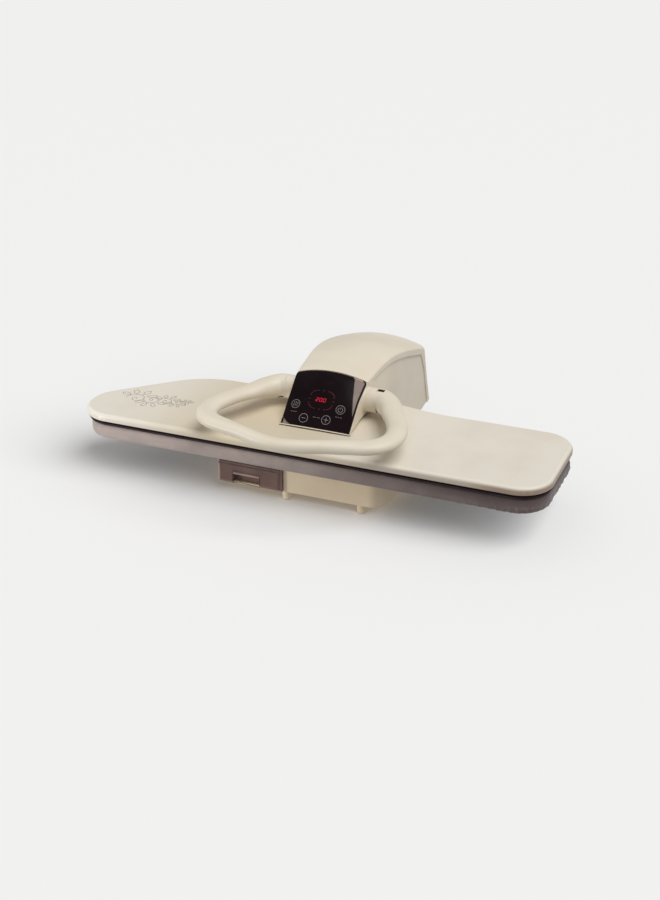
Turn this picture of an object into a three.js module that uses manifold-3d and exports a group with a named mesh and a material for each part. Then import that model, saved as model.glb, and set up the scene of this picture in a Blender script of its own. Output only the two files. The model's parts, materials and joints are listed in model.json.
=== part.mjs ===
// Ironing press with a long heated plate, in millimetres, +Z up.
// The press stands on its feet. X runs along the board, with the pointed nose at -X, and the user stands at -Y.
// The control head, the arm and the base are centred on X = 0, and Y = 0 is the front edge of the plate cover.

import * as THREE from 'three';
import { mergeVertices } from 'three/addons/utils/BufferGeometryUtils.js';
import Module from 'manifold-3d';

// Fits and common sizes
const fit = 0.3;
const overrun = 4;
const weldReach = 0.0005;
const turnSteps = 32;
const rodSides = 20;
const smallSides = 12;
const bossSteps = 8;

// Ironing board and plate outline; the nose's cut and the corner radii are shares of the depth
const noseCutShare = 0.621;
const noseRearShare = 0.662;
const noseFrontShare = 0.279;
const frontLeftShare = 0.257;
const rightShare = 0.243;
const boardLength = 1005;
const boardDepth = 272;
const noseCut = boardDepth * noseCutShare;
const noseRearRadius = boardDepth * noseRearShare;
const noseFrontRadius = boardDepth * noseFrontShare;
const frontLeftRadius = boardDepth * frontLeftShare;
const rightRadius = boardDepth * rightShare;

// Heights of the closed stack, from the table up
const footHeight = 22;
const boardUnderside = 81;
const coverSheet = 1.5;
const boardThickness = 30.7;
const solePlateThickness = 5;
const plateFrameThickness = 3.7;
const plateCoverHeight = 16;
const soleBottom = boardUnderside + boardThickness + fit;
const soleTop = soleBottom + solePlateThickness;
const frameTop = soleTop + fit + plateFrameThickness;
const coverBottom = frameTop + fit;
const coverTop = coverBottom + plateCoverHeight;

// Board
const boardNoseInset = 10;
const boardHeelInset = 4.5;
const boardSideInset = 4;
const boardEdgeRadius = 6;
const boardEdgeShares = [0, 0.3, 1];
const hemWidth = 34;
const panSheet = 1.5;
const panFlange = 11;
const panSeatLeft = 170;
const panSeatRight = 165;
const panSeatFront = 62;
const panSeatInset = 44;
const panSeatRear = boardDepth - panSeatInset;

// Pressing plate
const soleInset = 5;
const frameInset = 2.4;
const plateCoverWall = 3;
const plateEdgeRadius = 12;
const humpHeight = 9;
const humpInner = 105;
const humpOuter = 225;
const humpFront = 96;
const humpRear = 206;
const steamHoleRadius = 3;
const steamPitchShare = 0.22;
const steamHoleRow = 62;
const steamHoleCount = 5;
const steamHoleRows = 2;
const steamHoleSteps = 3;
const plateEdgeShares = [0, 0.14, 0.45, 1];
const endZoneShare = 1.4;
const columnPower = 1.8;
const noseSteps = 13;
const fieldSteps = 18;
const endSteps = 8;
const rowSteps = 6;

// Heating element and steam chamber
const elementRadius = 4;
const elementInset = 66;
const elementEnds = 120;
const elementSides = 8;
const elementSteps = 30;
const elementBendSteps = 8;
const chamberHalf = 70;
const chamberFront = 84;
const chamberRear = 160;
const chamberHeight = 9;

// Base housing
const baseWall = 3;
const baseFront = 30;
const baseFrontRight = 167;
const baseRight = 181;
const baseRightTurn = 150;
const baseRear = 262;
const baseCornerRadius = 30;
const baseSideRadius = 60;
const baseSmallRadius = 4;
const neckHalfWidth = 77;
const neckRear = 418;
const neckDrop = 4;
const neckHeight = boardUnderside - neckDrop;
const neckRadius = 10;
const bayLeft = 185;
const bayRight = 41;
const bayRear = 208;
const baseFloorSheet = 2.5;

// Feet
const footRadius = 12;
const footPadHeight = 2;
const footPadRadius = 10.5;
const footFrontLeftX = -39;
const footFrontRightX = 124;
const footFrontY = 45;
const footRearX = 60;
const footRearY = 396;

// Water tank
const tankFront = 24;
const tankFrontSheet = 4;
const tankWall = 2;
const tankRear = 196;
const tankDrop = 6;
const tankTop = boardUnderside - tankDrop;
const tankLidSheet = 2;
const tankFrontGap = 3.5;
const tankFrontTop = boardUnderside - tankFrontGap;
const tankFrontDrop = 0.5;
const gripLeft = 151;
const gripRight = 92;
const gripTop = 51;
const gripLip = 5;
const gripDepth = 12;
const fillerLength = 74;
const fillerDepth = 50;
const fillerSetback = 12;
const filterWidth = 24;
const filterDepth = 60;
const filterHeight = 38;
const valveRadius = 7;
const valveLength = 9;
const valveSetback = 26;
const valveHeight = 36;

// Small parts of the base
const inletRadius = 8;
const inletLength = 22;
const inletFlange = 12;
const inletX = -46;
const inletZ = 46;
const pumpRadius = 20;
const pumpLength = 58;
const pumpX = 70;
const pumpY = 150;
const powerLeft = -35;
const powerRight = 55;
const powerFront = 107;
const powerRear = 165;
const hoseRadius = 4;
const hoseSides = 8;
const hoseSteps = 24;

// Hinge of the press arm
const hingeY = 430;
const hingeDrop = 1.3;
const hingeZ = coverTop - hingeDrop;
const hingeShaftRadius = 7;
const bushRadius = 11;
const bushOverhang = 2;
const armSheet = 5;
const armInner = 52;
const armBossRadius = 17;
const armTopShare = 0.8;
const crossRodRadius = 6;
const rearRodSetback = 51;
const towerSheet = 5;
const towerInner = 64;
const towerFootFront = 388;
const towerFootRear = 414;
const towerBossRadius = 16;

// Lift springs
const springWire = 2;
const springTurns = 6.5;
const springPitch = 5;
const springInner = 12;
const springTurnSteps = 8;
const springCoilRadius = (hingeShaftRadius + springWire + fit) / Math.cos(Math.PI / springTurnSteps);
const springWireSides = 5;
const anchorRadius = 4;
const anchorSetback = 20;

// Handle shaft and locking eccentrics
const leverY = 190;
const leverRise = 43.7;
const leverZ = coverTop + leverRise;
const leverShaftRadius = 5;
const hubRadius = 25.5;
const hubFace = 100;
const lobeRadius = 16;
const lobeOffset = 9.6;
const lobeInner = 28;
const lobeWidth = 14;
const yokeBar = 8;
const yokeDepth = 24;
const yokeLeg = 10;
const yokeHalfWidth = 47;

// Handle ring
const gripHalfHeight = 13.2;
const gripHalfWidth = 21;
const gripFrontHalfWidth = 14;
const gripSides = 16;
const gripStations = 56;
const gripRootShare = 0.13;
const gripSlimShares = [0.28, 0.42];
const ringRiseShare = 0.3;
const ringRise = 4.5;
const ringReach = 277;
const ringHalfSpan = 196;
const notchWidth = 18;
const notchDepth = 5;
const notchHeight = 5;

// Hood and control head
const headFront = 91;
const headBottom = coverTop;
const headHalfWidth = 75;
const archRun = 399.3;
const archRise = 93;
const hoodCrown = 18;
const hoodFlareStart = 150;
const hoodFlareSlopeShare = 0.068;
const hoodWall = 3;
const hoodSideWall = 5.4;
const rearRake = 36;
const rearDrop = 139;
const rearCrown = 6;
const rearChamferRun = 35;
const skirtDrop = 41;
const skirtBottom = boardUnderside - skirtDrop;
const skirtFrontTop = 286;
const skirtFrontBottom = 300;
const lipClearance = 2.6;
const lipReach = 12;
const headUndersideRear = 175;
const headClearance = 5.7;
const headUndersideHeight = coverTop + humpHeight + headClearance;
const sideRecess = 3.2;
const sideCover = 1.7;
const sideBand = 17;
const sideBandFront = 9;
const sideRearBand = 12;
const sideBorder = 8;
const sideFront = 218;
const sideStartShare = 0.47;
const sideSteps = 10;
const headBaseSheet = 2.5;

// Control panel
const glassThickness = 1.7;
const bezelThickness = 1.3;
const panelStandIn = 0.4;
const crescentLeft = 13;
const crescentRight = 12;
const boardSheet = 1.6;
const displayHalfWidth = 24;
const circuitHalfWidth = 58;
const crescentLeftShare = 0.75;
const crescentRightShare = 0.2;
const crescentPower = 1.5;
const glassSteps = 14;
const displaySteps = 4;
const circuitSteps = 6;

// Shares chosen by eye along the arch: how far back and how high each knot lies, and how much it is crowned
const archShares = [
  [0, 0], [0.056, 0.224], [0.11, 0.449], [0.175, 0.668], [0.251, 0.865],
  [0.352, 0.938], [0.475, 1], [0.601, 0.98], [0.733, 0.875], [0.867, 0.725], [1, 0.553],
];
const crownShares = [0.05, 0.3, 0.53, 0.74, 0.89, 0.95, 0.96, 0.95, 0.94, 0.93, 0.94];
const panelTopShare = 0.4;
const lipTopShare = 0.032;
const panelInsetShare = 0.006;
const displayInsetShare = 0.003;
const displayShares = [0.14, 0.25];
const circuitShares = [0.09, 0.34];
// Plan of one half of the handle ring, from the hub to the middle of the front bar: across and forward shares
const ringShares = [
  [0.51, 0], [0.58, 0.012], [0.65, 0.052], [0.72, 0.12], [0.79, 0.222], [0.885, 0.34],
  [0.968, 0.475], [1, 0.6], [0.964, 0.721], [0.858, 0.803], [0.654, 0.86], [0.428, 0.917], [0.213, 0.974], [0, 1],
];

// Finishes
const finish = (color, roughness, metalness, opacity = 1) =>
  new THREE.MeshStandardMaterial({ color, roughness, metalness, opacity, transparent: opacity < 1 });
const cream = finish(0xded6c6, 0.42, 0);
const warmCream = finish(0xcdbb9c, 0.45, 0);
const greyCloth = finish(0x8a7d7a, 0.9, 0);
const felt = finish(0xd8d4cc, 0.95, 0);
const steel = finish(0x9a9a9c, 0.4, 0.9);
const galvanised = finish(0xb4b6b8, 0.5, 0.8);
const springSteel = finish(0x6f7174, 0.35, 0.9);
const brass = finish(0xb08d4a, 0.35, 0.9);
const blackPlastic = finish(0x2a2221, 0.5, 0);
const soleCoat = finish(0x3a3130, 0.45, 0.3);
const aluminium = finish(0xc4c6c8, 0.35, 0.9);
const rubber = finish(0x2b2a29, 0.85, 0);
const smoke = finish(0x6a524c, 0.15, 0, 0.6);
const glassBlack = finish(0x120c0e, 0.08, 0);
const silver = finish(0x9a8c84, 0.3, 0.7);
const circuitGreen = finish(0x2f5d3a, 0.6, 0);
const displayRed = finish(0xc01830, 0.4, 0);
const hoseWhite = finish(0xd9d6cf, 0.5, 0);

const wasm = await Module();
wasm.setup();

// Solids and their joining

/** Merges the shared corners of a geometry and drops faces that have no area; a cut solid is merged already. */
function weld(geometry) {
  if (geometry.userData.merged) return geometry;
  const bare = geometry.clone();
  bare.deleteAttribute('normal');
  bare.deleteAttribute('uv');
  const merged = mergeVertices(bare, weldReach);
  const faces = [];
  for (let i = 0; i < merged.index.count; i += 3) {
    const [a, b, c] = [0, 1, 2].map((k) => merged.index.getX(i + k));
    if (a !== b && b !== c && c !== a) faces.push(a, b, c);
  }
  merged.setIndex(faces);
  return merged;
}

function solidOf(geometry) {
  const welded = weld(geometry);
  return new wasm.Manifold(new wasm.Mesh({
    numProp: 3,
    vertProperties: new Float32Array(welded.attributes.position.array),
    triVerts: new Uint32Array(welded.index.array),
  }));
}

function geometryOf(solid) {
  const mesh = solid.getMesh();
  const geometry = new THREE.BufferGeometry();
  geometry.setAttribute('position', new THREE.BufferAttribute(mesh.vertProperties, 3));
  geometry.setIndex(new THREE.BufferAttribute(mesh.triVerts, 1));
  geometry.userData.merged = true;
  return geometry;
}

const cut = (body, ...tools) =>
  geometryOf(tools.reduce((left, tool) => left.subtract(solidOf(tool)), solidOf(body)));
const join = (body, ...others) =>
  geometryOf(others.reduce((sum, other) => sum.add(solidOf(other)), solidOf(body)));

/** Closed skin through a row of loops of equal counts, with a flat fan over the first and last loop. */
function loft(loops) {
  const count = loops[0].length;
  const points = loops.flat();
  const faces = [];
  for (let i = 0; i + 1 < loops.length; i += 1) {
    for (let j = 0; j < count; j += 1) {
      const a = i * count + j;
      const b = i * count + ((j + 1) % count);
      faces.push(a, b, b + count, a, b + count, a + count);
    }
  }
  const fan = (loop, first, outwards) => {
    const middle = loop.reduce((sum, p) => sum.add(p), new THREE.Vector3()).divideScalar(count);
    const centre = points.length;
    points.push(middle);
    for (let j = 0; j < count; j += 1) {
      const a = first + j;
      const b = first + ((j + 1) % count);
      faces.push(centre, outwards ? a : b, outwards ? b : a);
    }
  };
  fan(loops[0], 0, false);
  fan(loops.at(-1), (loops.length - 1) * count, true);
  return skin(points, faces);
}

/** Indexed geometry with its faces turned outwards. */
function skin(points, faces) {
  const volume = faces.reduce((sum, _, i) => (i % 3 ? sum
    : sum + points[faces[i]].dot(points[faces[i + 1]].clone().cross(points[faces[i + 2]]))), 0);
  const turned = volume < 0 ? faces.map((_, i) => faces[i - (i % 3) + [0, 2, 1][i % 3]]) : faces;
  const geometry = new THREE.BufferGeometry().setFromPoints(points);
  geometry.setIndex(turned);
  return geometry;
}

// Outlines

const corner = (x, y, radius = 0) => ({ at: new THREE.Vector2(x, y), radius });

/** Plan outline through corners, each rounded by its radius, counter-clockwise. */
function rounded(corners) {
  const points = [];
  corners.forEach(({ at, radius }, index) => {
    if (radius <= 0) {
      points.push(at.clone());
      return;
    }
    const before = corners.at(index - 1).at.clone().sub(at).normalize();
    const after = corners[(index + 1) % corners.length].at.clone().sub(at).normalize();
    const half = Math.acos(before.dot(after)) / 2;
    const centre = before.clone().add(after).setLength(radius / Math.sin(half)).add(at);
    const start = before.clone().multiplyScalar(radius / Math.tan(half)).add(at).sub(centre);
    const turn = Math.PI - 2 * half;
    const sense = Math.sign(-before.cross(after));
    const steps = Math.max(2, Math.round((turnSteps * turn) / (2 * Math.PI)));
    for (let k = 0; k <= steps; k += 1) {
      points.push(start.clone().rotateAround(new THREE.Vector2(), (sense * turn * k) / steps).add(centre));
    }
  });
  return points;
}

/** Corners moved inwards by one distance, with their radii following. */
function insetCorners(corners, distance) {
  return corners.map(({ at, radius }, index) => {
    const entering = at.clone().sub(corners.at(index - 1).at).normalize();
    const leaving = corners[(index + 1) % corners.length].at.clone().sub(at).normalize();
    const normals = [entering, leaving].map((side) => new THREE.Vector2(-side.y, side.x));
    const shift = normals[0].clone().add(normals[1]).multiplyScalar(distance / (1 + normals[0].dot(normals[1])));
    const grows = entering.cross(leaving) < 0;
    const next = grows ? radius + distance : radius - distance;
    return { at: at.clone().add(shift), radius: radius > 0 ? Math.max(next, fit) : 0 };
  });
}

const plateCorners = [
  corner(-boardLength / 2, 0, frontLeftRadius),
  corner(boardLength / 2, 0, rightRadius),
  corner(boardLength / 2, boardDepth, rightRadius),
  corner(-boardLength / 2 + noseCut, boardDepth, noseRearRadius),
  corner(-boardLength / 2, boardDepth - noseCut, noseFrontRadius),
];
const plateOutline = (inset) => rounded(insetCorners(plateCorners, inset));

/** Board outline: the plate's outline drawn in at its sides, and a little more at its ends. */
function boardOutline(inset) {
  const endShare = (boardLength - boardNoseInset - boardHeelInset) / (boardLength - 2 * boardSideInset);
  const shift = (boardNoseInset - boardHeelInset) / 2;
  return plateOutline(boardSideInset + inset).map((p) => new THREE.Vector2(p.x * endShare + shift, p.y));
}

const lift = (points, z) => points.map((p) => new THREE.Vector3(p.x, p.y, z));

// Simple solids placed by their limits

function block(x0, x1, y0, y1, z0, z1) {
  return new THREE.BoxGeometry(x1 - x0, y1 - y0, z1 - z0)
    .translate((x0 + x1) / 2, (y0 + y1) / 2, (z0 + z1) / 2);
}

const rodAlongX = (radius, x0, x1, y, z, sides = rodSides) =>
  new THREE.CylinderGeometry(radius, radius, x1 - x0, sides).rotateZ(Math.PI / 2).translate((x0 + x1) / 2, y, z);
const rodAlongY = (radius, x, y0, y1, z, sides = rodSides) =>
  new THREE.CylinderGeometry(radius, radius, y1 - y0, sides).translate(x, (y0 + y1) / 2, z);
const rodAlongZ = (radius, x, y, z0, z1, sides = rodSides) =>
  new THREE.CylinderGeometry(radius, radius, z1 - z0, sides).rotateX(Math.PI / 2).translate(x, y, (z0 + z1) / 2);

const slab = (outline, z0, z1, holes = []) => {
  const shape = new THREE.Shape(outline);
  shape.holes = holes.map((hole) => new THREE.Path(hole));
  return new THREE.ExtrudeGeometry(shape, { depth: z1 - z0, bevelEnabled: false }).translate(0, 0, z0);
};

/** Flat plate whose outline is given as (Y, Z) and whose thickness runs from x0 to x1. */
function sidePlate(outline, x0, x1) {
  const geometry = new THREE.ExtrudeGeometry(new THREE.Shape(outline), { depth: x1 - x0, bevelEnabled: false });
  const axes = new THREE.Matrix4().makeBasis(
    new THREE.Vector3(0, 1, 0), new THREE.Vector3(0, 0, 1), new THREE.Vector3(1, 0, 0));
  return geometry.applyMatrix4(axes).translate(x0, 0, 0);
}

// The arch of the hood and head

const archKnots = archShares.map(([run, rise]) =>
  new THREE.Vector2(headFront + run * archRun, headBottom + rise * archRise));
const archCurve = new THREE.SplineCurve(archKnots);
const crownCurve = new THREE.SplineCurve(crownShares.map((share, i) => new THREE.Vector2(i, share * hoodCrown)));
const archRear = archKnots.at(-1);
const rearFoot = new THREE.Vector2(archRear.x + rearRake, archRear.y - rearDrop);
const rearNormal = new THREE.Vector2(rearDrop, rearRake).normalize();
const halfWidthAt = (y) => headHalfWidth + Math.max(0, y - hoodFlareStart) * hoodFlareSlopeShare;

/** Edge point, outward normal and crown vector at a share of the arch; shares above 1 run down the rear wall. */
function archAt(share) {
  if (share <= 1) {
    const along = archCurve.getTangent(share);
    const normal = new THREE.Vector2(-along.y, along.x);
    const crown = normal.clone().multiplyScalar(crownCurve.getPoint(share).y);
    return { edge: archCurve.getPoint(share), normal, crown };
  }
  const top = archAt(1);
  const down = share - 1;
  const edge = archRear.clone().lerp(rearFoot, down);
  const normal = rearNormal.clone();
  const crown = top.crown.clone().lerp(rearNormal.clone().multiplyScalar(rearCrown), down);
  return { edge, normal, crown };
}

/** Point on the hood's outer surface, moved out by offset, at the X that widthAt gives for the local half width. */
function archPoint(share, widthAt, offset) {
  const { edge, normal, crown } = archAt(share);
  const side = edge.clone().addScaledVector(normal, offset);
  const half = halfWidthAt(side.x);
  const x = widthAt(half);
  const at = side.clone().addScaledVector(crown, 1 - (x / half) ** 2);
  return new THREE.Vector3(x, at.x, at.y);
}

const acrossSteps = 12;
const acrossShares = Array.from({ length: acrossSteps + 1 }, (_, i) => (2 * i) / acrossSteps - 1);
const archStations = 22;
const rearStations = [1.02, 1.15, 1.4, 1.7, 2];
const stations = [...Array.from({ length: archStations + 1 }, (_, i) => i / archStations), ...rearStations];

/** Solid under the arch, down to a level below the skirt. */
function archSolid(offsetAt, sideInset, floor) {
  return loft(stations.map((share) => {
    const offset = offsetAt(share);
    const roof = acrossShares.map((across) => archPoint(share, (half) => across * (half - sideInset), offset));
    const { x, y } = roof[0];
    return [new THREE.Vector3(x, y, floor), ...roof, new THREE.Vector3(-x, y, floor)];
  }));
}

/** Curved slab that follows the arch between two shares and two offsets; reach gives its two side limits. */
function archSlab(shares, steps, inner, outer, reach) {
  return loft(Array.from({ length: steps + 1 }, (_, i) => {
    const share = shares[0] + ((shares[1] - shares[0]) * i) / steps;
    const [left, right] = reach(share);
    const row = (offset) => acrossShares.map((across) => {
      const x = left + ((right - left) * (across + 1)) / 2;
      return archPoint(share, () => x, offset);
    });
    return [...row(outer), ...row(inner).reverse()];
  }));
}

const glassPocket = glassThickness + bezelThickness + fit * 2 - panelStandIn;

function hoodShell() {
  const outer = archSolid(() => 0, 0, skirtBottom - overrun);
  const pocketEndShare = panelTopShare + 1 / archStations;
  const depthAt = (share) => -hoodWall - (share <= pocketEndShare ? glassPocket : 0);
  const inner = archSolid(depthAt, hoodSideWall, skirtBottom - 2 * overrun);
  const wide = [lipTopShare, panelTopShare];
  const reach = headHalfWidth + overrun;
  const pocket = archSlab(wide, archStations / 2, -glassPocket, overrun, () => [-reach, reach]);
  const window = archSlab(displayShares, displaySteps, -glassPocket - hoodWall - overrun, 0,
    () => [-displayHalfWidth - fit, displayHalfWidth + fit]);
  const boreEnd = hubFace + overrun;
  const hubs = [-1, 1].map((side) => {
    const ends = [side * (headHalfWidth - hoodSideWall), side * hubFace].sort((a, b) => a - b);
    return rodAlongX(hubRadius, ends[0], ends[1], leverY, leverZ, turnSteps);
  });
  const hollow = cut(outer, inner, pocket, window, underside());
  const withHubs = join(hollow, ...hubs);
  const bore = rodAlongX(leverShaftRadius + fit, -boreEnd, boreEnd, leverY, leverZ);
  return cut(withHubs, bore, sideInsetSolid(1, sideRecess, overrun), sideInsetSolid(-1, sideRecess, overrun));
}

/** Everything under the lower edge of the head and hood. */
function underside() {
  const lip = headBottom + lipClearance;
  const reach = boardLength / 2;
  const outline = [
    [headFront - hoodCrown, 0], [archRear.x + rearRake * 2, 0],
    [rearFoot.x + hoodCrown, rearFoot.y + rearCrown], [rearFoot.x, rearFoot.y],
    [rearFoot.x - rearChamferRun, skirtBottom], [skirtFrontBottom, skirtBottom],
    [skirtFrontTop, headUndersideHeight], [headUndersideRear, headUndersideHeight],
    [headFront + lipReach, lip], [headFront - hoodCrown, lip],
  ].map(([y, z]) => new THREE.Vector2(y, z));
  return sidePlate(outline, -reach / 2, reach / 2);
}

/** Outline of the set-in side face, drawn in by a distance, as (Y, Z) points. */
function sideFaceOutline(inset) {
  const points = [];
  for (let i = 0; i <= sideSteps; i += 1) {
    const share = sideStartShare + ((1 - sideStartShare) * i) / sideSteps;
    const band = sideBandFront + (sideBand - sideBandFront) * Math.sqrt(i / sideSteps);
    const { edge, normal } = archAt(share);
    points.push(edge.clone().addScaledVector(normal, -band - inset));
  }
  const rearTop = points.at(-1);
  const rearShift = sideRearBand + inset;
  points[points.length - 1] = rearTop.clone().setX(Math.min(rearTop.x, archRear.x - rearShift / 2));
  const foot = rearFoot.clone().setX(rearFoot.x - rearShift);
  points[0].setX(sideFront + inset);
  points.push(
    foot.clone().setY(rearFoot.y + sideBorder + inset),
    new THREE.Vector2(rearFoot.x - rearChamferRun - sideBorder / 2, skirtBottom + sideBorder + inset),
    new THREE.Vector2(skirtFrontBottom + sideBorder + inset, skirtBottom + sideBorder + inset),
    new THREE.Vector2(skirtFrontTop + sideBorder + inset, headUndersideHeight + sideBorder + inset),
    new THREE.Vector2(sideFront + inset, headUndersideHeight + sideBorder + inset),
  );
  return points;
}

/** Prism behind a side face, from depth under the hood's side plane to rise above it. */
function sideInsetSolid(side, depth, rise, inset = 0) {
  const flat = sidePlate(sideFaceOutline(inset), -depth, rise);
  const place = flat.attributes.position;
  for (let i = 0; i < place.count; i += 1) {
    place.setX(i, halfWidthAt(place.getY(i)) + place.getX(i));
  }
  return side > 0 ? flat : mirrored(flat);
}

/** Copy of a geometry mirrored from the right to the left, with its faces turned back outwards. */
function mirrored(geometry) {
  const copy = weld(geometry).clone();
  copy.scale(-1, 1, 1);
  const order = copy.index.array;
  for (let i = 0; i < order.length; i += 3) [order[i + 1], order[i + 2]] = [order[i + 2], order[i + 1]];
  return copy;
}

// Handle ring

/** Centre of the ring's bar, and its half width, at a share from one hub round the front to the other. */
function ringPath() {
  const half = ringShares.map(([across, forward]) => {
    const x = across * ringHalfSpan;
    const rise = ringRise * THREE.MathUtils.smoothstep(forward, 0, ringRiseShare);
    return new THREE.Vector3(x, leverY - forward * ringReach, leverZ + rise);
  });
  half[0].x = hubFace + fit;
  const left = half.slice(0, -1).map((p) => new THREE.Vector3(-p.x, p.y, p.z)).reverse();
  return new THREE.CatmullRomCurve3([...half, ...left], false, 'centripetal');
}

function handleRing() {
  const path = ringPath();
  const up = new THREE.Vector3(0, 0, 1);
  const loops = Array.from({ length: gripStations + 1 }, (_, i) => {
    const share = i / gripStations;
    const centre = path.getPointAt(share);
    const along = path.getTangentAt(share);
    if (i === 0 || i === gripStations) along.set(1, 0, 0);
    const across = new THREE.Vector3().crossVectors(along.setZ(0).normalize(), up);
    const near = Math.min(share, 1 - share);
    const root = 1 - THREE.MathUtils.smoothstep(near, 0, gripRootShare);
    const front = THREE.MathUtils.smoothstep(near, ...gripSlimShares);
    const bar = THREE.MathUtils.lerp(gripHalfWidth, gripFrontHalfWidth, front);
    const width = THREE.MathUtils.lerp(bar, hubRadius, root);
    const height = THREE.MathUtils.lerp(gripHalfHeight, hubRadius, root);
    return Array.from({ length: gripSides }, (_, j) => {
      const angle = (2 * Math.PI * j) / gripSides;
      return centre.clone().addScaledVector(across, width * Math.cos(angle))
        .addScaledVector(up, height * Math.sin(angle));
    });
  });
  const boreDepth = hubRadius - notchDepth;
  const root = hubFace + fit;
  const bores = [-1, 1].map((side) => {
    const ends = [side * (root - overrun), side * (root + boreDepth)].sort((a, b) => a - b);
    return rodAlongX(leverShaftRadius + fit, ends[0], ends[1], leverY, leverZ);
  });
  const notches = [[1, 1], [1, -1], [-1, -1]].map(([side, end]) => {
    const xs = [side * (root - overrun), side * (root + notchDepth)].sort((a, b) => a - b);
    const edge = leverZ + end * hubRadius;
    const zs = [edge - end * notchHeight, edge + end * overrun].sort((a, b) => a - b);
    return block(xs[0], xs[1], leverY - notchWidth / 2, leverY + notchWidth / 2, zs[0], zs[1]);
  });
  return cut(loft(loops), ...bores, ...notches);
}

// Board

/** Hollow cover: round the board's edge from the top to the hem underneath, and back along the inside. */
function boardCover() {
  const top = boardUnderside + boardThickness;
  const upper = boardEdgeShares.map((share) =>
    [boardEdgeRadius * (1 - share) ** 2, top - boardEdgeRadius * share ** 2]);
  const lower = boardEdgeShares.slice().reverse().map((share) =>
    [boardEdgeRadius * (1 - share) ** 2, boardUnderside + boardEdgeRadius * share ** 2]);
  const outside = [...upper, ...lower, [hemWidth, boardUnderside]];
  const inside = outside.slice(0, -1).map(([inset, z]) => [
    inset + coverSheet,
    THREE.MathUtils.clamp(z, boardUnderside + coverSheet, top - coverSheet),
  ]).reverse();
  const hem = [hemWidth, boardUnderside + coverSheet];
  return loft([...outside, hem, ...inside].map(([inset, z]) => lift(boardOutline(inset), z)));
}

const coverGap = coverSheet + fit;

function boardPan() {
  const bottom = boardUnderside + coverGap;
  const outline = boardOutline(boardEdgeRadius / 2 + coverGap);
  const inside = boardOutline(boardEdgeRadius / 2 + coverGap + panSheet);
  const tray = cut(slab(outline, bottom, bottom + panFlange), slab(inside, bottom + panSheet, bottom + panFlange * 2));
  const seat = block(-panSeatLeft, panSeatRight, panSeatFront, panSeatRear, boardUnderside, bottom + panSheet / 2);
  return join(tray, seat);
}

function boardPad() {
  const bottom = boardUnderside + coverGap + panSheet + fit;
  const top = boardUnderside + boardThickness - coverGap;
  const inPan = boardEdgeRadius / 2 + coverGap + panSheet + fit;
  const rim = bottom + panFlange;
  const soft = boardEdgeRadius;
  return loft([
    lift(boardOutline(inPan + soft / 2), bottom), lift(boardOutline(inPan), bottom + soft / 2),
    lift(boardOutline(inPan), rim), lift(boardOutline(inPan + soft / 4), top - soft / 2),
    lift(boardOutline(inPan + soft), top),
  ]);
}

// Pressing plate

function solePlate() {
  const holes = [];
  const pitch = (boardLength / 2 - noseCut) * steamPitchShare;
  for (let row = 0; row < steamHoleRows; row += 1) {
    for (let i = -steamHoleCount; i <= steamHoleCount; i += 1) {
      const y = boardDepth / 2 + (row - (steamHoleRows - 1) / 2) * steamHoleRow;
      const path = new THREE.Path().absarc(i * pitch, y, steamHoleRadius, 0, 2 * Math.PI, true);
      holes.push(path.getPoints(steamHoleSteps).slice(0, -1));
    }
  }
  return slab(plateOutline(soleInset), soleBottom, soleTop, holes);
}

/** Lowest and highest Y of a convex outline at one X. */
function spanAt(outline, x) {
  const hits = [];
  outline.forEach((p, i) => {
    const q = outline[(i + 1) % outline.length];
    if (Math.abs(p.x - x) < weldReach) hits.push(p.y);
    if ((p.x - x) * (q.x - x) < 0) hits.push(p.y + ((q.y - p.y) * (x - p.x)) / (q.x - p.x));
  });
  return [Math.min(...hits), Math.max(...hits)];
}

/** Shortest distance from a point to an outline. */
function edgeDistance(outline, x, y) {
  const at = new THREE.Vector3(x, y, 0);
  const near = new THREE.Vector3();
  const side = new THREE.Line3();
  return Math.min(...outline.map((p, i) => {
    const q = outline[(i + 1) % outline.length];
    side.start.set(p.x, p.y, 0);
    side.end.set(q.x, q.y, 0);
    side.closestPointToPoint(at, true, near);
    return near.distanceTo(at);
  }));
}

/** Height of the plate cover's top: a rounded edge, a level field, and the low rise under the head. */
function coverHeight(outline, x, y) {
  const inward = Math.min(edgeDistance(outline, x, y), plateEdgeRadius);
  const edge = plateEdgeRadius - Math.sqrt(plateEdgeRadius ** 2 - (plateEdgeRadius - inward) ** 2);
  const along = 1 - THREE.MathUtils.smoothstep(Math.abs(x), humpInner, humpOuter);
  const back = THREE.MathUtils.smoothstep(y, humpFront, humpRear);
  const ease = inward / plateEdgeRadius;
  return coverTop - edge + humpHeight * along * back * ease;
}

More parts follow.
